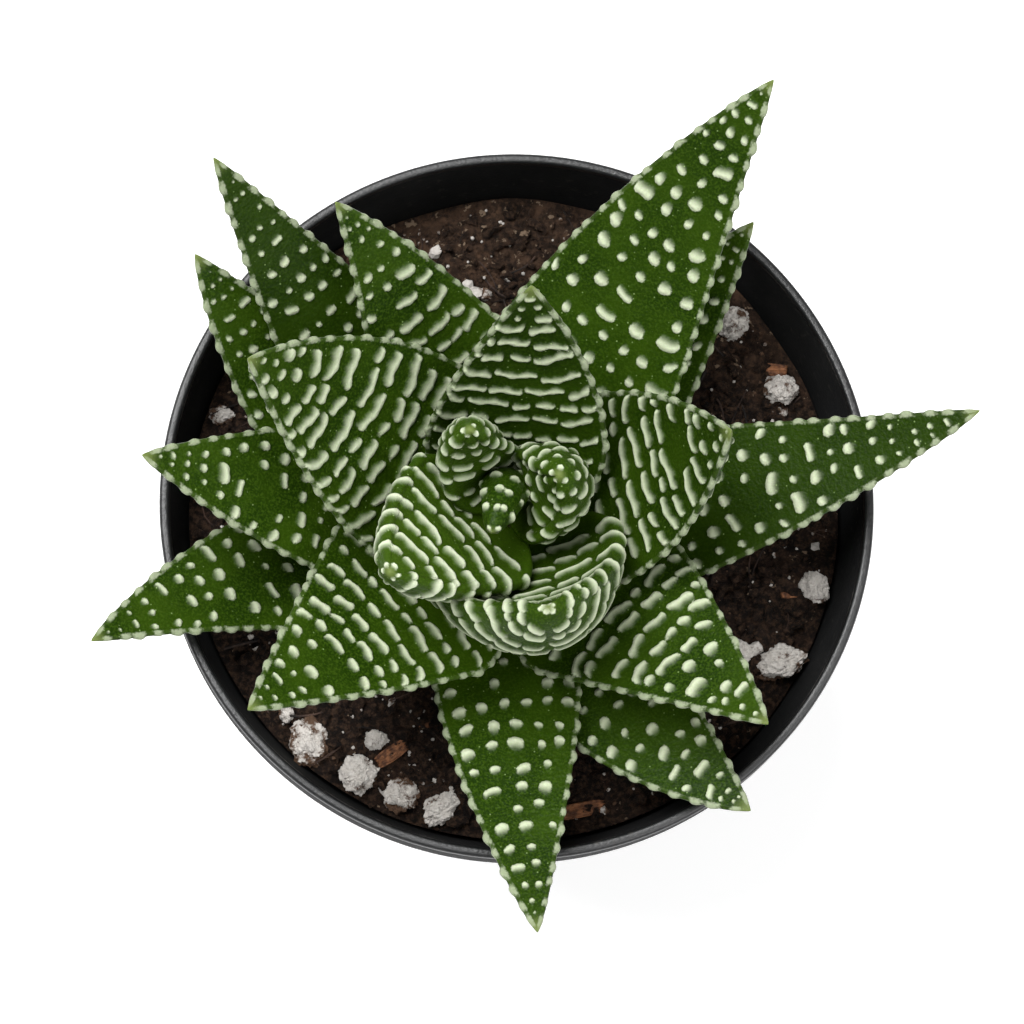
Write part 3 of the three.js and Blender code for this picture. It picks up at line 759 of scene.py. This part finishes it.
BUD = dict(HOOD, wrap=40, marks="seeds", pitch=(3.0, 3.0), margin=1)


def grown(kind, base, heading, length, width, rise, **own):
    """A leaf: what its kind shares, its measures, and what else it has of its own."""
    return dict(kind, base=base, heading=heading, length=length, width=width, rise=rise, **own)


# Each leaf, from the lowest on the stem to the heart, in millimetres and degrees: height of its foot, heading
# from +X, length, width, and its slopes at the foot and at the tip.
# Painted shade deepens the green of some of these leaves, and painted light below 0 brightens the heart's,
# partly each leaf's own tone.
LEAVES = (
    grown(OUTER, 65.5, 51, 44.7, 18.1, (22, 34), sweep=-1.3, taper=1.26, coarse=0.8),
    grown(OUTER, 65, 184.2, 48.4, 17, (21, 28), sweep=29.3, taper=1.34, coarse=0.8),
    grown(OUTER, 65.5, 302.5, 41.3, 15.7, (20, 24), sweep=19.5, taper=1.94, coarse=0.85),
    grown(OUTER, 67, 150.3, 47.3, 19.6, (22, 34), sweep=-24, taper=1.29, coarse=0.65),
    grown(OUTER, 68.2, 8.7, 56.2, 17.9, (20, 32), sweep=8.1, taper=1.17, dark=0.5, coarse=0.85),
    grown(OUTER, 68, 272.4, 46.9, 16.7, (22, 26), sweep=4.7, taper=1.37, coarse=0.95),
    grown(OUTER, 69.6, 133.1, 56.1, 20.2, (28, 40), sweep=-4.8, taper=1.05, dark=0.5, coarse=0.72),
    grown(OUTER, 73.5, 173.3, 43.2, 18, (27, 34), sweep=-1, taper=1.54, coarse=0.75),
    grown(OUTER, 72, 64.8, 61.1, 22.4, (24, 38), sweep=-15.2, dark=0.2, coarse=0.95),
    grown(MIDDLE, 75, 108.6, 44.4, 20.6, (32, 44), sweep=28.4, taper=1.09, coarse=0.85),
    grown(MIDDLE, 73.5, 323.8, 42.1, 22.7, (32, 36), sweep=-10.4, taper=1.16, coarse=0.95),
    grown(MIDDLE, 75.4, 220, 42.4, 24.1, (33, 38), taper=1.1, coarse=0.9),
    grown(INNER, 76, 14, 38.6, 22, (38, 72), sweep=0.7, wrap=21, taper=2.05, dark=0.3),
    grown(INNER, 79.5, 150.8, 42.8, 24, (38, 56), sweep=13.1, wrap=22, taper=1.82, coarse=1.1, lean=0.2),
    grown(UPRIGHT, 81.5, 80.1, 34.1, 21.6, (52, 62), sweep=10.9, wrap=36, taper=1.7, dark=0.5),
    grown(CRESCENT, 81.5, 285.5, 32, 25.5, (26, 104), sweep=-2.6, wrap=50, fill=0.35, thick=0.14, margin=1.5,
          dark=-0.25),
    grown(CRESCENT, 86, 219, 26.5, 19.5, (40, 68), sweep=1.6, taper=1.5, fill=0.7, thick=0.2, margin=1.4,
          dark=-0.4),
    grown(HOOD, 86, 4.9, 19.7, 13.3, (45, 116), sweep=33.2, wrap=72, thick=0.32, margin=1.4, dark=-0.35),
    grown(HOOD, 87.5, 145.8, 20.5, 9.2, (54, 98), sweep=-54.4, margin=1.4, dark=-0.35),
    grown(BUD, 90.4, 73.1, 14, 5.2, (90, 172), sweep=-1.1),
)

# Tubercles of each kind: radius, half the length of the bar beyond that, gap to the next, share left out,
# and how far its thickness swells and shrinks along it.
TUBERCLES = {
    "dots": dict(radius=(0.40, 0.72), half_length=(0, 0.3), gap=(1.0, 2.2), left_out=0.08, beading=0.05),
    "bars": dict(radius=(0.44, 0.56), half_length=(0.3, 1.5), gap=(0.3, 0.9), left_out=0.03, beading=0.16),
    "strips": dict(radius=(0.41, 0.53), half_length=(0.4, 2.0), gap=(0.3, 0.8), left_out=0.02, beading=0.14),
    "bands": dict(radius=(0.35, 0.45), half_length=(0.5, 2.2), gap=(0.25, 0.7), left_out=0, beading=0.20),
    "ribs": dict(radius=(0.48, 0.62), half_length=(0.5, 2.0), gap=(0.2, 0.6), left_out=0, beading=0.20),
    "beads": dict(radius=(0.48, 0.60), half_length=(0.1, 0.8), gap=(0.4, 0.9), left_out=0, beading=0.10),
    "seeds": dict(radius=(0.40, 0.62), half_length=(0, 0.25), gap=(0.7, 1.4), left_out=0.05, beading=0),
}
PLUMP_FROM = 0.3
ROWS_FROM = 0.14
ROUND_PAST = {"bars": 0.66, "strips": 0.80, "bands": 0.84, "ribs": 0.80}
SEEDS_WITHIN = 3.2
CROWDED_WITHIN, CROWDING = 9, 0.45
NARROW_SIZE, NARROW_RUN = 0.2, 5.5
TIP_SIZE, TIP_GROWTH = 0.45, 9
ROW_ARCH, ROW_START, ROW_SLIP = 0.8, 1.3, 0.15
LONG_DOTS, LONG_DOT = 0.12, 0.6
MARK_STRAY, MARK_TILT = 0.4, 0.2
MARGIN_CLEAR, END_ROOM, LEAST_ROOM = 0.5, 0.6, 0.5
MARK_BACK, MARK_AHEAD = 2, 2.6
TUBERCLE_HEIGHT = 0.40
USUAL_RADIUS = 0.6
TIP_RUN = 1.8
WAVE_HEIGHT, WAVE_RATE, BEAD_RATE = 0.16, 1.7, 3.6
FADE, FADE_FROM, FADE_TO = 0.95, -0.05, 0.95
SMOOTH_END = 0.05
TOOTH_HEIGHT = 0.33
TOOTH_HALF = 0.78
TOOTH_WIDTH = 0.22
TOOTH_PITCH = 2.3
TOOTH_FROM_TIP = 1.4
TOOTH_STRAY = 0.4
TOOTH_SIZES = (0.35, 1.2)
TOOTH_WHITE = 0.5
TOOTH_SHARPNESS = 10
TEETH_END = 0.12
TIP_COLOUR, TIP_BLUNTED = 2.6, 2.8
FOOT_COLOUR = 0.55
INSIDE_REACH = 0.6

# Colours of the leaves, linear.
DEEP_GREEN, LIGHT_GREEN = (0.0085, 0.023, 0.0010), (0.019, 0.043, 0.0016)
GRAIN_GREEN = (0.029, 0.060, 0.004)
FOOT_GREEN = (0.026, 0.060, 0.001)
# Painted shade: the deeper green laid on leaves that lie in less light, partly their own tone.
PAINTED_SHADE_GREEN = (0.0075, 0.018, 0.0007)
# Painted light: the brighter green laid on the heart's leaves, partly their own tone.
PAINTED_LIGHT_GREEN = (0.046, 0.092, 0.006)
FLECK_GREEN = (0.30, 0.42, 0.16)
TIP_YELLOW = (0.16, 0.20, 0.06)
MARGIN_PALE = (0.30, 0.38, 0.14)
CHALK_GREY, CHALK_WHITE = (0.38, 0.43, 0.275), (0.535, 0.585, 0.425)
# Painted light: the brighter chalk of the heart's leaves.
PAINTED_LIGHT_CHALK = (0.80, 0.86, 0.66)


def is_flat(leaf):
    """Whether a leaf has two faces and toothed margins, rather than being plump and round-ended."""
    return leaf["blunt"] < PLUMP_FROM


def half_width(leaf, s):
    """Half the width of a leaf at a share s of its length, from 0 at the foot to 1 at the tip."""
    t = 1 - np.asarray(s, float)
    point = 1 - np.clip(1 - t / POINT_SHARE, 0, 1) ** leaf["taper"]
    foot = 1 - FOOT_WAIST * (np.maximum(0, t - POINT_SHARE) / (1 - POINT_SHARE)) ** 2
    return 0.5 * leaf["width"] * np.where(t < POINT_SHARE, point ** (1 - 0.5 * leaf["blunt"]), foot)


def section_depth(leaf, s):
    """Depth of the lens section: thin at the foot, full by the middle, thinning to the tip."""
    swell = FOOT_DEPTH + (1 - FOOT_DEPTH) * np.minimum(1, s / FULL_FROM)
    thinning = np.minimum(1, (1 - s) / TIP_SHARE) ** (0.8 - 0.3 * leaf["blunt"])
    return leaf["thick"] * leaf["width"] * (1 - 0.5 * leaf["fill"]) * swell * thinning


def midrib(leaf, order, s):
    """Points on a leaf's midrib at shares s of its length, with their sideways and upper-side directions."""
    heading = np.radians(leaf["heading"] + leaf["sweep"] * s)
    rise = np.radians(leaf["rise"][0] + (leaf["rise"][1] - leaf["rise"][0]) * s)
    along = np.column_stack([np.cos(rise) * np.cos(heading), np.cos(rise) * np.sin(heading), np.sin(rise)])
    side = np.column_stack([-np.sin(heading), np.cos(heading), np.zeros_like(s)])
    upper = np.cross(along, side)
    reach = FOOT_OUTER + (FOOT_INNER - FOOT_OUTER) * order / (len(LEAVES) - 1)
    x, y = stem_centre(leaf["base"])
    start = math.radians(leaf["heading"])
    foot = np.array([x + reach * math.cos(start), y + reach * math.sin(start), leaf["base"]])
    steps = (along[1:] + along[:-1]) / 2 * leaf["length"] * np.diff(s)[:, None]
    return foot + np.vstack([np.zeros(3), np.cumsum(steps, axis=0)]), side, upper


def section_outline(leaf):
    """The closed outline of a leaf's section, as arrays over its points: x across from -1 to 1, the side it
    is on (1 upper, -1 lower, between on a margin), and how far the round of the margin takes it outwards."""
    upper = np.linspace(-1, 1, max(12, round(leaf["width"] / UPPER_STEP)) + 1)
    under_step = UNDER_STEP + (UPPER_STEP - UNDER_STEP) * leaf["blunt"]
    under = np.linspace(1, -1, max(10, round(leaf["width"] / under_step)) + 1)
    turn = np.linspace(0, math.pi, round(math.pi / 2 * leaf["margin"] / MARGIN_STEP) + 1)[1:-1]
    ones = np.ones(len(turn))
    x = np.concatenate([upper, ones, under, -ones])
    level = np.concatenate([np.ones(len(upper)), np.cos(turn), -np.ones(len(under)), -np.cos(turn)])
    outwards = np.concatenate([np.zeros(len(upper)), np.sin(turn), np.zeros(len(under)), -np.sin(turn)])
    return x, level, outwards


def tubercle_rows(leaf, chance):
    """Where the rows of tubercles cross a leaf, in millimetres from its foot, from the tip downwards."""
    rows, at = [], leaf["length"] - 0.9
    while at > ROWS_FROM * leaf["length"]:
        rows.append(at)
        pitch = leaf["pitch"][0] + (leaf["pitch"][1] - leaf["pitch"][0]) * at / leaf["length"]
        pitch *= 1 - CROWDING * (1 - leaf["blunt"]) * max(0, 1 - (leaf["length"] - at) / CROWDED_WITHIN)
        at -= pitch * chance.uniform(0.9, 1.1)
    return rows


def kind_of_mark(leaf, at):
    """The kind of tubercle a leaf has so far from its foot: its own kind, then rounder ones."""
    kind = leaf["marks"]
    if kind in ROUND_PAST and at / leaf["length"] > ROUND_PAST[kind]:
        kind = "dots" if is_flat(leaf) else "beads"
    if not is_flat(leaf) and leaf["length"] - at < SEEDS_WITHIN:
        kind = "seeds"
    return kind


def lay_tubercles(leaf, rows, girths, chance):
    """The tubercles of a leaf, each with its place along and round it, radius, half length and tilt. A flat
    leaf has rows on its two faces, and a plump one has rings right round it."""
    laid = []
    flat = is_flat(leaf)
    for face in (0, 0.5) if flat else (0,):
        arch = chance.uniform(-ROW_ARCH, ROW_ARCH) * flat
        for at, girth in zip(rows, girths):
            half = float(half_width(leaf, at / leaf["length"])) if flat else girth / 2
            kind = kind_of_mark(leaf, at)
            rule = TUBERCLES[kind]
            near_tip = TIP_SIZE + (leaf["length"] - at) / TIP_GROWTH
            small = leaf["coarse"] * min(1, NARROW_SIZE + half / NARROW_RUN, near_tip)
            reach = half - MARGIN_CLEAR if flat else half
            across = -reach + chance.uniform(0, ROW_START) * small
            slip = chance.uniform(-ROW_SLIP, ROW_SLIP)
            while across < reach:
                radius = chance.uniform(*rule["radius"]) * small
                half_length = chance.uniform(*rule["half_length"]) * small
                if kind == "dots" and chance.random() < LONG_DOTS:
                    half_length += LONG_DOT * small
                centre = across + radius + half_length
                if centre + half_length + END_ROOM * radius > reach:
                    half_length = max(0, (reach - across) / 2 - radius)
                    centre = across + radius + half_length
                    if centre + LEAST_ROOM * radius > reach:
                        break
                if chance.random() >= rule["left_out"]:
                    stray = slip + chance.uniform(-MARK_STRAY, MARK_STRAY) * small
                    arched = arch * ((centre / half) ** 2 - 0.4)
                    laid.append(dict(
                        along=at + arched + stray + leaf["lean"] * centre,
                        turn=face + centre / girth,
                        radius=radius,
                        half_length=half_length,
                        beading=rule["beading"],
                        tilt=leaf["lean"] + chance.uniform(-MARK_TILT, MARK_TILT),
                        phase=chance.uniform(0, 6.3),
                    ))
                across = centre + half_length + radius + chance.uniform(*rule["gap"]) * small
    return laid


def smooth_step(low, high, value):
    """0 below low, 1 above high, and an even curve between."""
    share = np.clip((value - low) / (high - low), 0, 1)
    return share * share * (3 - 2 * share)


def tubercle_relief(along, turn, girth, laid):
    """Over a leaf: the relief of its tubercles from 0 to 1, how far inside one's outline each point lies in
    millimetres, and how white it is there. A tubercle is steep and sharp-edged towards the leaf's foot, and
    runs out into the green towards its tip."""
    height = np.zeros_like(along)
    inside = np.full_like(along, -1.0)
    white = np.zeros_like(along)
    lowest, highest = along.min(axis=1), along.max(axis=1)
    for mark in laid:
        near = np.flatnonzero((highest > mark["along"] - MARK_BACK) & (lowest < mark["along"] + MARK_AHEAD))
        near = slice(near[0], near[-1] + 1)
        sideways = ((turn[near] - mark["turn"] + 0.5) % 1 - 0.5) * girth[near, None]
        wave = WAVE_HEIGHT * np.sin(WAVE_RATE * sideways + mark["phase"]) * min(1, mark["half_length"])
        ahead = along[near] - mark["along"] - mark["tilt"] * sideways - wave
        radius = mark["radius"] * (1 + mark["beading"] * np.cos(BEAD_RATE * sideways + mark["phase"]))
        if mark["half_length"] < mark["radius"]:
            beyond = sideways * mark["radius"] / (mark["radius"] + mark["half_length"])
        else:
            beyond = np.maximum(0, np.abs(sideways) - mark["half_length"])
        body = np.hypot(np.where(ahead > 0, ahead / TIP_RUN, ahead), beyond) / radius
        peak = (mark["radius"] / USUAL_RADIUS) ** 0.6
        height[near] = np.maximum(height[near], peak * np.maximum(0, 1 - body ** 2) ** 0.8)
        here = (1 - body) * radius
        fade = 1 - FADE * smooth_step(FADE_FROM, FADE_TO, ahead / (TIP_RUN * radius))
        nearer = here > inside[near]
        inside[near] = np.where(nearer, here, inside[near])
        white[near] = np.where(nearer, fade, white[near])
    return height, inside, white


def lay_teeth(leaf, s, x, edge, chance):
    """The teeth of a leaf's two margins: how tall they stand at each share s of its length, and over the leaf
    how far inside a tooth's white bead each point lies. A plump leaf has none."""
    along = s * leaf["length"]
    teeth = np.zeros((2, len(s)))
    inside = np.full(edge.shape, -1.0)
    for margin in range(2):
        on_margin = (x > 0) == (margin == 1)
        for step in range(int(leaf["length"] / TOOTH_PITCH)):
            stray = chance.uniform(-TOOTH_STRAY, TOOTH_STRAY)
            at = leaf["length"] - TOOTH_FROM_TIP - TOOTH_PITCH * step + stray
            tall = chance.uniform(*TOOTH_SIZES)
            far = (along - at) / (TOOTH_HALF * tall ** 0.5)
            teeth[margin] = np.maximum(teeth[margin], tall * np.maximum(0, 1 - far ** 2))
            bead = (1 - np.hypot(far[:, None], edge[:, on_margin] / TOOTH_WIDTH)) * TOOTH_WIDTH
            inside[:, on_margin] = np.maximum(inside[:, on_margin], bead)
    teeth *= np.minimum(1, (1 - s) / TEETH_END) * np.minimum(1, s / ROWS_FROM) * is_flat(leaf)
    return teeth, inside


def plain_skin(leaf, s, spine, outline, teeth):
    """A leaf's skin before its tubercles: the section set out all along the midrib, with its teeth."""
    centre, side, upper = spine
    x, level, outwards = outline
    half = half_width(leaf, s)[:, None]
    on_edge = np.abs(x)[None, :] ** TOOTH_SHARPNESS
    tooth = TOOTH_HEIGHT * np.where(x[None, :] > 0, teeth[1][:, None], teeth[0][:, None]) * on_edge
    toothed = half + tooth
    wrap = math.radians(leaf["wrap"])
    bend = wrap * x[None, :]
    closing = np.minimum(1, (1 - s) / (0.04 + 0.03 * leaf["margin"])) ** 0.5
    margin = leaf["margin"] / 2 * closing[:, None]
    depth = section_depth(leaf, s)[:, None]
    share = np.where(level > 0, UPPER_BULGE, 1 - UPPER_BULGE) * (1 - x ** 2)
    offset = level[None, :] * margin + np.sign(level)[None, :] * share[None, :] * depth
    curl = (np.cos(bend) - math.cos(wrap)) * (level > 0)[None, :]
    filled = leaf["fill"] * np.minimum(1, 2 * s)[:, None] * curl
    out = outwards[None, :] * margin
    sideways = toothed * np.sin(bend) / wrap - offset * np.sin(bend) + out * np.cos(bend)
    lifted = toothed * (1 - np.cos(bend) + filled) / wrap + offset * np.cos(bend) + out * np.sin(bend)
    return centre[:, None] + side[:, None] * sideways[..., None] + upper[:, None] * lifted[..., None]


def measure_skin(skin, middle):
    """Over a skin, all by its surface: the way from each point to the tip, its share of the way round from
    the middle of the upper face, and the girth of its row."""
    steps = np.linalg.norm(np.diff(skin, axis=0), axis=2)
    to_tip = np.vstack([np.cumsum(steps[::-1], axis=0)[::-1], np.zeros(skin.shape[1])])
    around = np.linalg.norm(np.roll(skin, -1, axis=1) - skin, axis=2)
    girth = np.maximum(around.sum(axis=1), 0.1)
    walked = np.cumsum(around, axis=1) - around
    turn = (walked - walked[:, middle:middle + 1]) / girth[:, None]
    return to_tip, turn, girth


def raise_skin(skin, height, middle, upper):
    """A skin pushed outwards by so many millimetres. Its middle column shows which way is out."""
    outward = np.cross(np.gradient(skin, axis=0), np.roll(skin, -1, axis=1) - np.roll(skin, 1, axis=1))
    outward /= np.linalg.norm(outward, axis=2, keepdims=True) + 1e-12
    halfway = len(skin) // 2
    if (outward[halfway, middle] * upper[halfway]).sum() < 0:
        outward = -outward
    return skin + outward * height[..., None]


def leaf_skin(leaf, order, chance):
    """A leaf's whole skin: points by row along and column round it, and what its colours follow."""
    s = np.linspace(0, 1, round(leaf["length"] / UPPER_STEP) + 1)
    spine = midrib(leaf, order, s)
    outline = section_outline(leaf)
    x, level, _ = outline
    rows = tubercle_rows(leaf, chance)
    edge = half_width(leaf, s)[:, None] * (1 - np.abs(x)[None, :])
    teeth, tooth_inside = lay_teeth(leaf, s, x, edge, chance)
    skin = plain_skin(leaf, s, spine, outline, teeth)

    middle = np.argmin(np.abs(x) + (level < 1))
    to_tip, turn, girth = measure_skin(skin, middle)
    girths = np.interp(rows, leaf["length"] - to_tip[:, middle], girth)
    laid = lay_tubercles(leaf, rows, girths, chance)
    height, inside, white = tubercle_relief(leaf["length"] - to_tip, turn, girth, laid)
    thin_end = np.minimum(1, (1 - s) / SMOOTH_END)[:, None]
    centre, _, upper = spine
    skin = raise_skin(skin, TUBERCLE_HEIGHT * height * thin_end, middle, upper)
    skin[0] = centre[0]
    skin[-1] = centre[-1]

    on_tooth = (tooth_inside > inside) & is_flat(leaf)
    inside = np.clip(np.where(on_tooth, tooth_inside, inside), -INSIDE_REACH, INSIDE_REACH)
    white = np.where(on_tooth, TOOTH_WHITE, white)
    tip = 1 - smooth_step(0, TIP_COLOUR - TIP_BLUNTED * leaf["blunt"], to_tip)
    foot = 1 - smooth_step(0, FOOT_COLOUR, s)[:, None] + np.zeros(edge.shape)
    # Each leaf's painted shade, or painted light where it is below 0.
    dark = np.full(edge.shape, float(leaf["dark"]))
    edge = np.clip(edge, 0, 1) + (not is_flat(leaf))
    return skin * MM, dict(inside=inside, white=white, edge=edge, tip=tip, foot=foot, dark=dark)


def make_leaf(leaf, order):
    """A leaf: a plain grid rolled up into its skin, with the seam and both ends closed."""
    skin, follows = leaf_skin(leaf, order, random.Random(100 + order))
    rows, columns = skin.shape[:2]
    bpy.ops.mesh.primitive_grid_add(x_subdivisions=columns, y_subdivisions=rows - 1, size=2)
    piece = bpy.context.object
    places = read_points(piece)
    column = np.rint((places[:, 0] + 1) / 2 * columns).astype(int) % columns
    row = np.rint((places[:, 1] + 1) / 2 * (rows - 1)).astype(int)
    write_points(piece, skin[row, column])
    for name, values in follows.items():
        attribute = piece.data.attributes.new(name, "FLOAT", "POINT")
        attribute.data.foreach_set("value", values[row, column].astype(np.float32))
    start_edit("SELECT")
    bpy.ops.mesh.remove_doubles(threshold=0.000002)
    bpy.ops.mesh.normals_make_consistent(inside=False)
    bpy.ops.object.mode_set(mode="OBJECT")
    bpy.ops.object.shade_smooth()
    return piece


def leaf_green(tree, place, follow):
    """The green between the tubercles: mottled and grainy, lighter at the foot, deepened on some leaves by
    painted shade and brightened on the heart's leaves by painted light, both partly the leaf's own tone, with
    fine pale flecks and a yellowish tip."""
    patches = add_range(tree, add_noise(tree, place, scale=130, detail=3), 0.35, 0.68)
    fine = add_range(tree, add_noise(tree, place, scale=3600, detail=3), 0.42, 0.70)
    green = add_blend(tree, fine, add_blend(tree, patches, DEEP_GREEN, LIGHT_GREEN), GRAIN_GREEN)
    green = add_blend(tree, add_math(tree, "MULTIPLY", follow["foot"], 0.6), green, FOOT_GREEN)
    # Painted shade deepens some leaves, and painted light brightens the heart's leaves.
    green = add_blend(tree, follow["dark"], green, PAINTED_SHADE_GREEN)
    green = add_blend(tree, follow["paler"], green, PAINTED_LIGHT_GREEN)
    cells = add_node(tree, "ShaderNodeTexVoronoi", {"Vector": place, "Scale": 1700.0})
    fleck = add_range(tree, cells.outputs["Distance"], 0.22, 0.08)
    chosen = add_node(tree, "ShaderNodeSeparateColor", {"Color": cells.outputs["Color"]}).outputs[0]
    flecked = add_math(tree, "MULTIPLY", fleck, add_range(tree, chosen, 0.80, 0.86))
    green = add_blend(tree, add_math(tree, "MULTIPLY", flecked, 0.45), green, FLECK_GREEN)
    green = add_blend(tree, add_math(tree, "MULTIPLY", follow["tip"], 0.7), green, TIP_YELLOW)
    pale_line = add_math(tree, "MULTIPLY", add_range(tree, follow["edge"], 0.10, 0.02), 0.025)
    return add_blend(tree, pale_line, green, MARGIN_PALE)


def leaf_flesh():
    """Waxy green skin with chalk-white tubercles and teeth, which have a soft grainy outline."""
    material, tree, shader, place = new_material(
        "leaf_flesh", Specular_IOR_Level=0.06, Subsurface_Weight=0.06, Subsurface_Radius=(0.4, 1.0, 0.2),
        Subsurface_Scale=0.0008)
    follow = {name: add_node(tree, "ShaderNodeAttribute", attribute_name=name).outputs["Fac"]
              for name in ("inside", "white", "edge", "tip", "foot", "dark")}
    # The heart's painted light, taken from painted shade below 0.
    follow["paler"] = add_range(tree, follow["dark"], 0, -1)
    green = leaf_green(tree, place, follow)
    grainy = add_noise(tree, place, scale=3200, detail=2)
    outline = add_math(tree, "ADD", follow["inside"], add_range(tree, grainy, 0.3, 0.7, -0.045, 0.045))
    whitened = add_math(tree, "MULTIPLY", add_range(tree, outline, -0.09, 0.13), follow["white"])
    whitened = add_math(tree, "MULTIPLY", whitened, add_range(tree, follow["tip"], 0, 1, 1, 0.45))
    chalk = add_blend(tree, grainy, CHALK_GREY, CHALK_WHITE)
    # Painted light: brighter chalk on the heart's leaves.
    chalk = add_blend(tree, follow["paler"], chalk, PAINTED_LIGHT_CHALK)
    tree.links.new(add_blend(tree, whitened, green, chalk), shader.inputs["Base Color"])
    tree.links.new(add_range(tree, whitened, 0, 1, 0.34, 0.55), shader.inputs["Roughness"])
    add_bump(tree, shader, add_noise(tree, place, scale=2100), distance=0.00012)
    return material


flesh = leaf_flesh()
for order, leaf in enumerate(LEAVES):
    node_name = f"leaf_{order + 1:02d}"
    finish_piece(make_leaf(leaf, order), f"fleshy_{node_name}", flesh, [node_name])


# ---- Floor and studio light ----
# A plain white table lit evenly from beneath, so that hardly a shadow shows on it, and soft light: a large
# softbox from the upper left, a weaker one from the lower right, and an even pale surround.

FLOOR_SIZE = 6.0
FLOOR_DROP = 0.0002
FLOOR_GLOW = 0.34
FLOOR_GREY, FLOOR_WHITE = (0.86, 0.86, 0.86), (0.90, 0.90, 0.90)
KEY_PLACE, KEY_SIZE, KEY_POWER = (-0.34, 0.30, 1.10), 0.70, 20.0
FILL_PLACE, FILL_SIZE, FILL_POWER = (0.50, -0.40, 0.95), 0.90, 8.0
LIT_POINT = Vector((0, 0, 0.08))
ZENITH, HORIZON = 0.30, 0.40
HORIZON_TO, ZENITH_FROM = 0.25, 0.95


def add_softbox(name, location, size, power):
    """A round soft light that faces the plant."""
    bpy.ops.object.light_add(type="AREA", location=location)
    softbox = bpy.context.object
    softbox.name = name
    softbox.data.shape = "DISK"
    softbox.data.size = size
    softbox.data.energy = power
    softbox.rotation_euler = (LIT_POINT - Vector(location)).to_track_quat("-Z", "Y").to_euler()


def pale_floor():
    """White laminate, a very little uneven, that glows evenly."""
    material, tree, shader, place = new_material(
        "pale_floor", Roughness=0.8, Emission_Color=(1, 1, 1, 1), Emission_Strength=FLOOR_GLOW)
    tone = add_range(tree, add_noise(tree, place, scale=3), 0.3, 0.7)
    tree.links.new(add_blend(tree, tone, FLOOR_GREY, FLOOR_WHITE), shader.inputs["Base Color"])
    return material


bpy.ops.mesh.primitive_plane_add(size=FLOOR_SIZE, location=(0, 0, -FLOOR_DROP))
floor = bpy.context.object
bpy.ops.object.transform_apply()
floor.name = "floor"
floor.data.materials.append(pale_floor())

add_softbox("key_softbox", KEY_PLACE, KEY_SIZE, KEY_POWER)
add_softbox("fill_softbox", FILL_PLACE, FILL_SIZE, FILL_POWER)

world = bpy.data.worlds.new("surround")
bpy.context.scene.world = world
world.use_nodes = True
sky = world.node_tree
direction = add_node(sky, "ShaderNodeTexCoord").outputs["Object"]
climb = add_node(sky, "ShaderNodeSeparateXYZ", {"Vector": direction}).outputs["Z"]
brightness = add_range(sky, climb, HORIZON_TO, ZENITH_FROM, HORIZON, ZENITH)
sky.links.new(brightness, sky.nodes["Background"].inputs["Strength"])
sky.nodes["Background"].inputs["Color"].default_value = (1, 1, 1, 1)
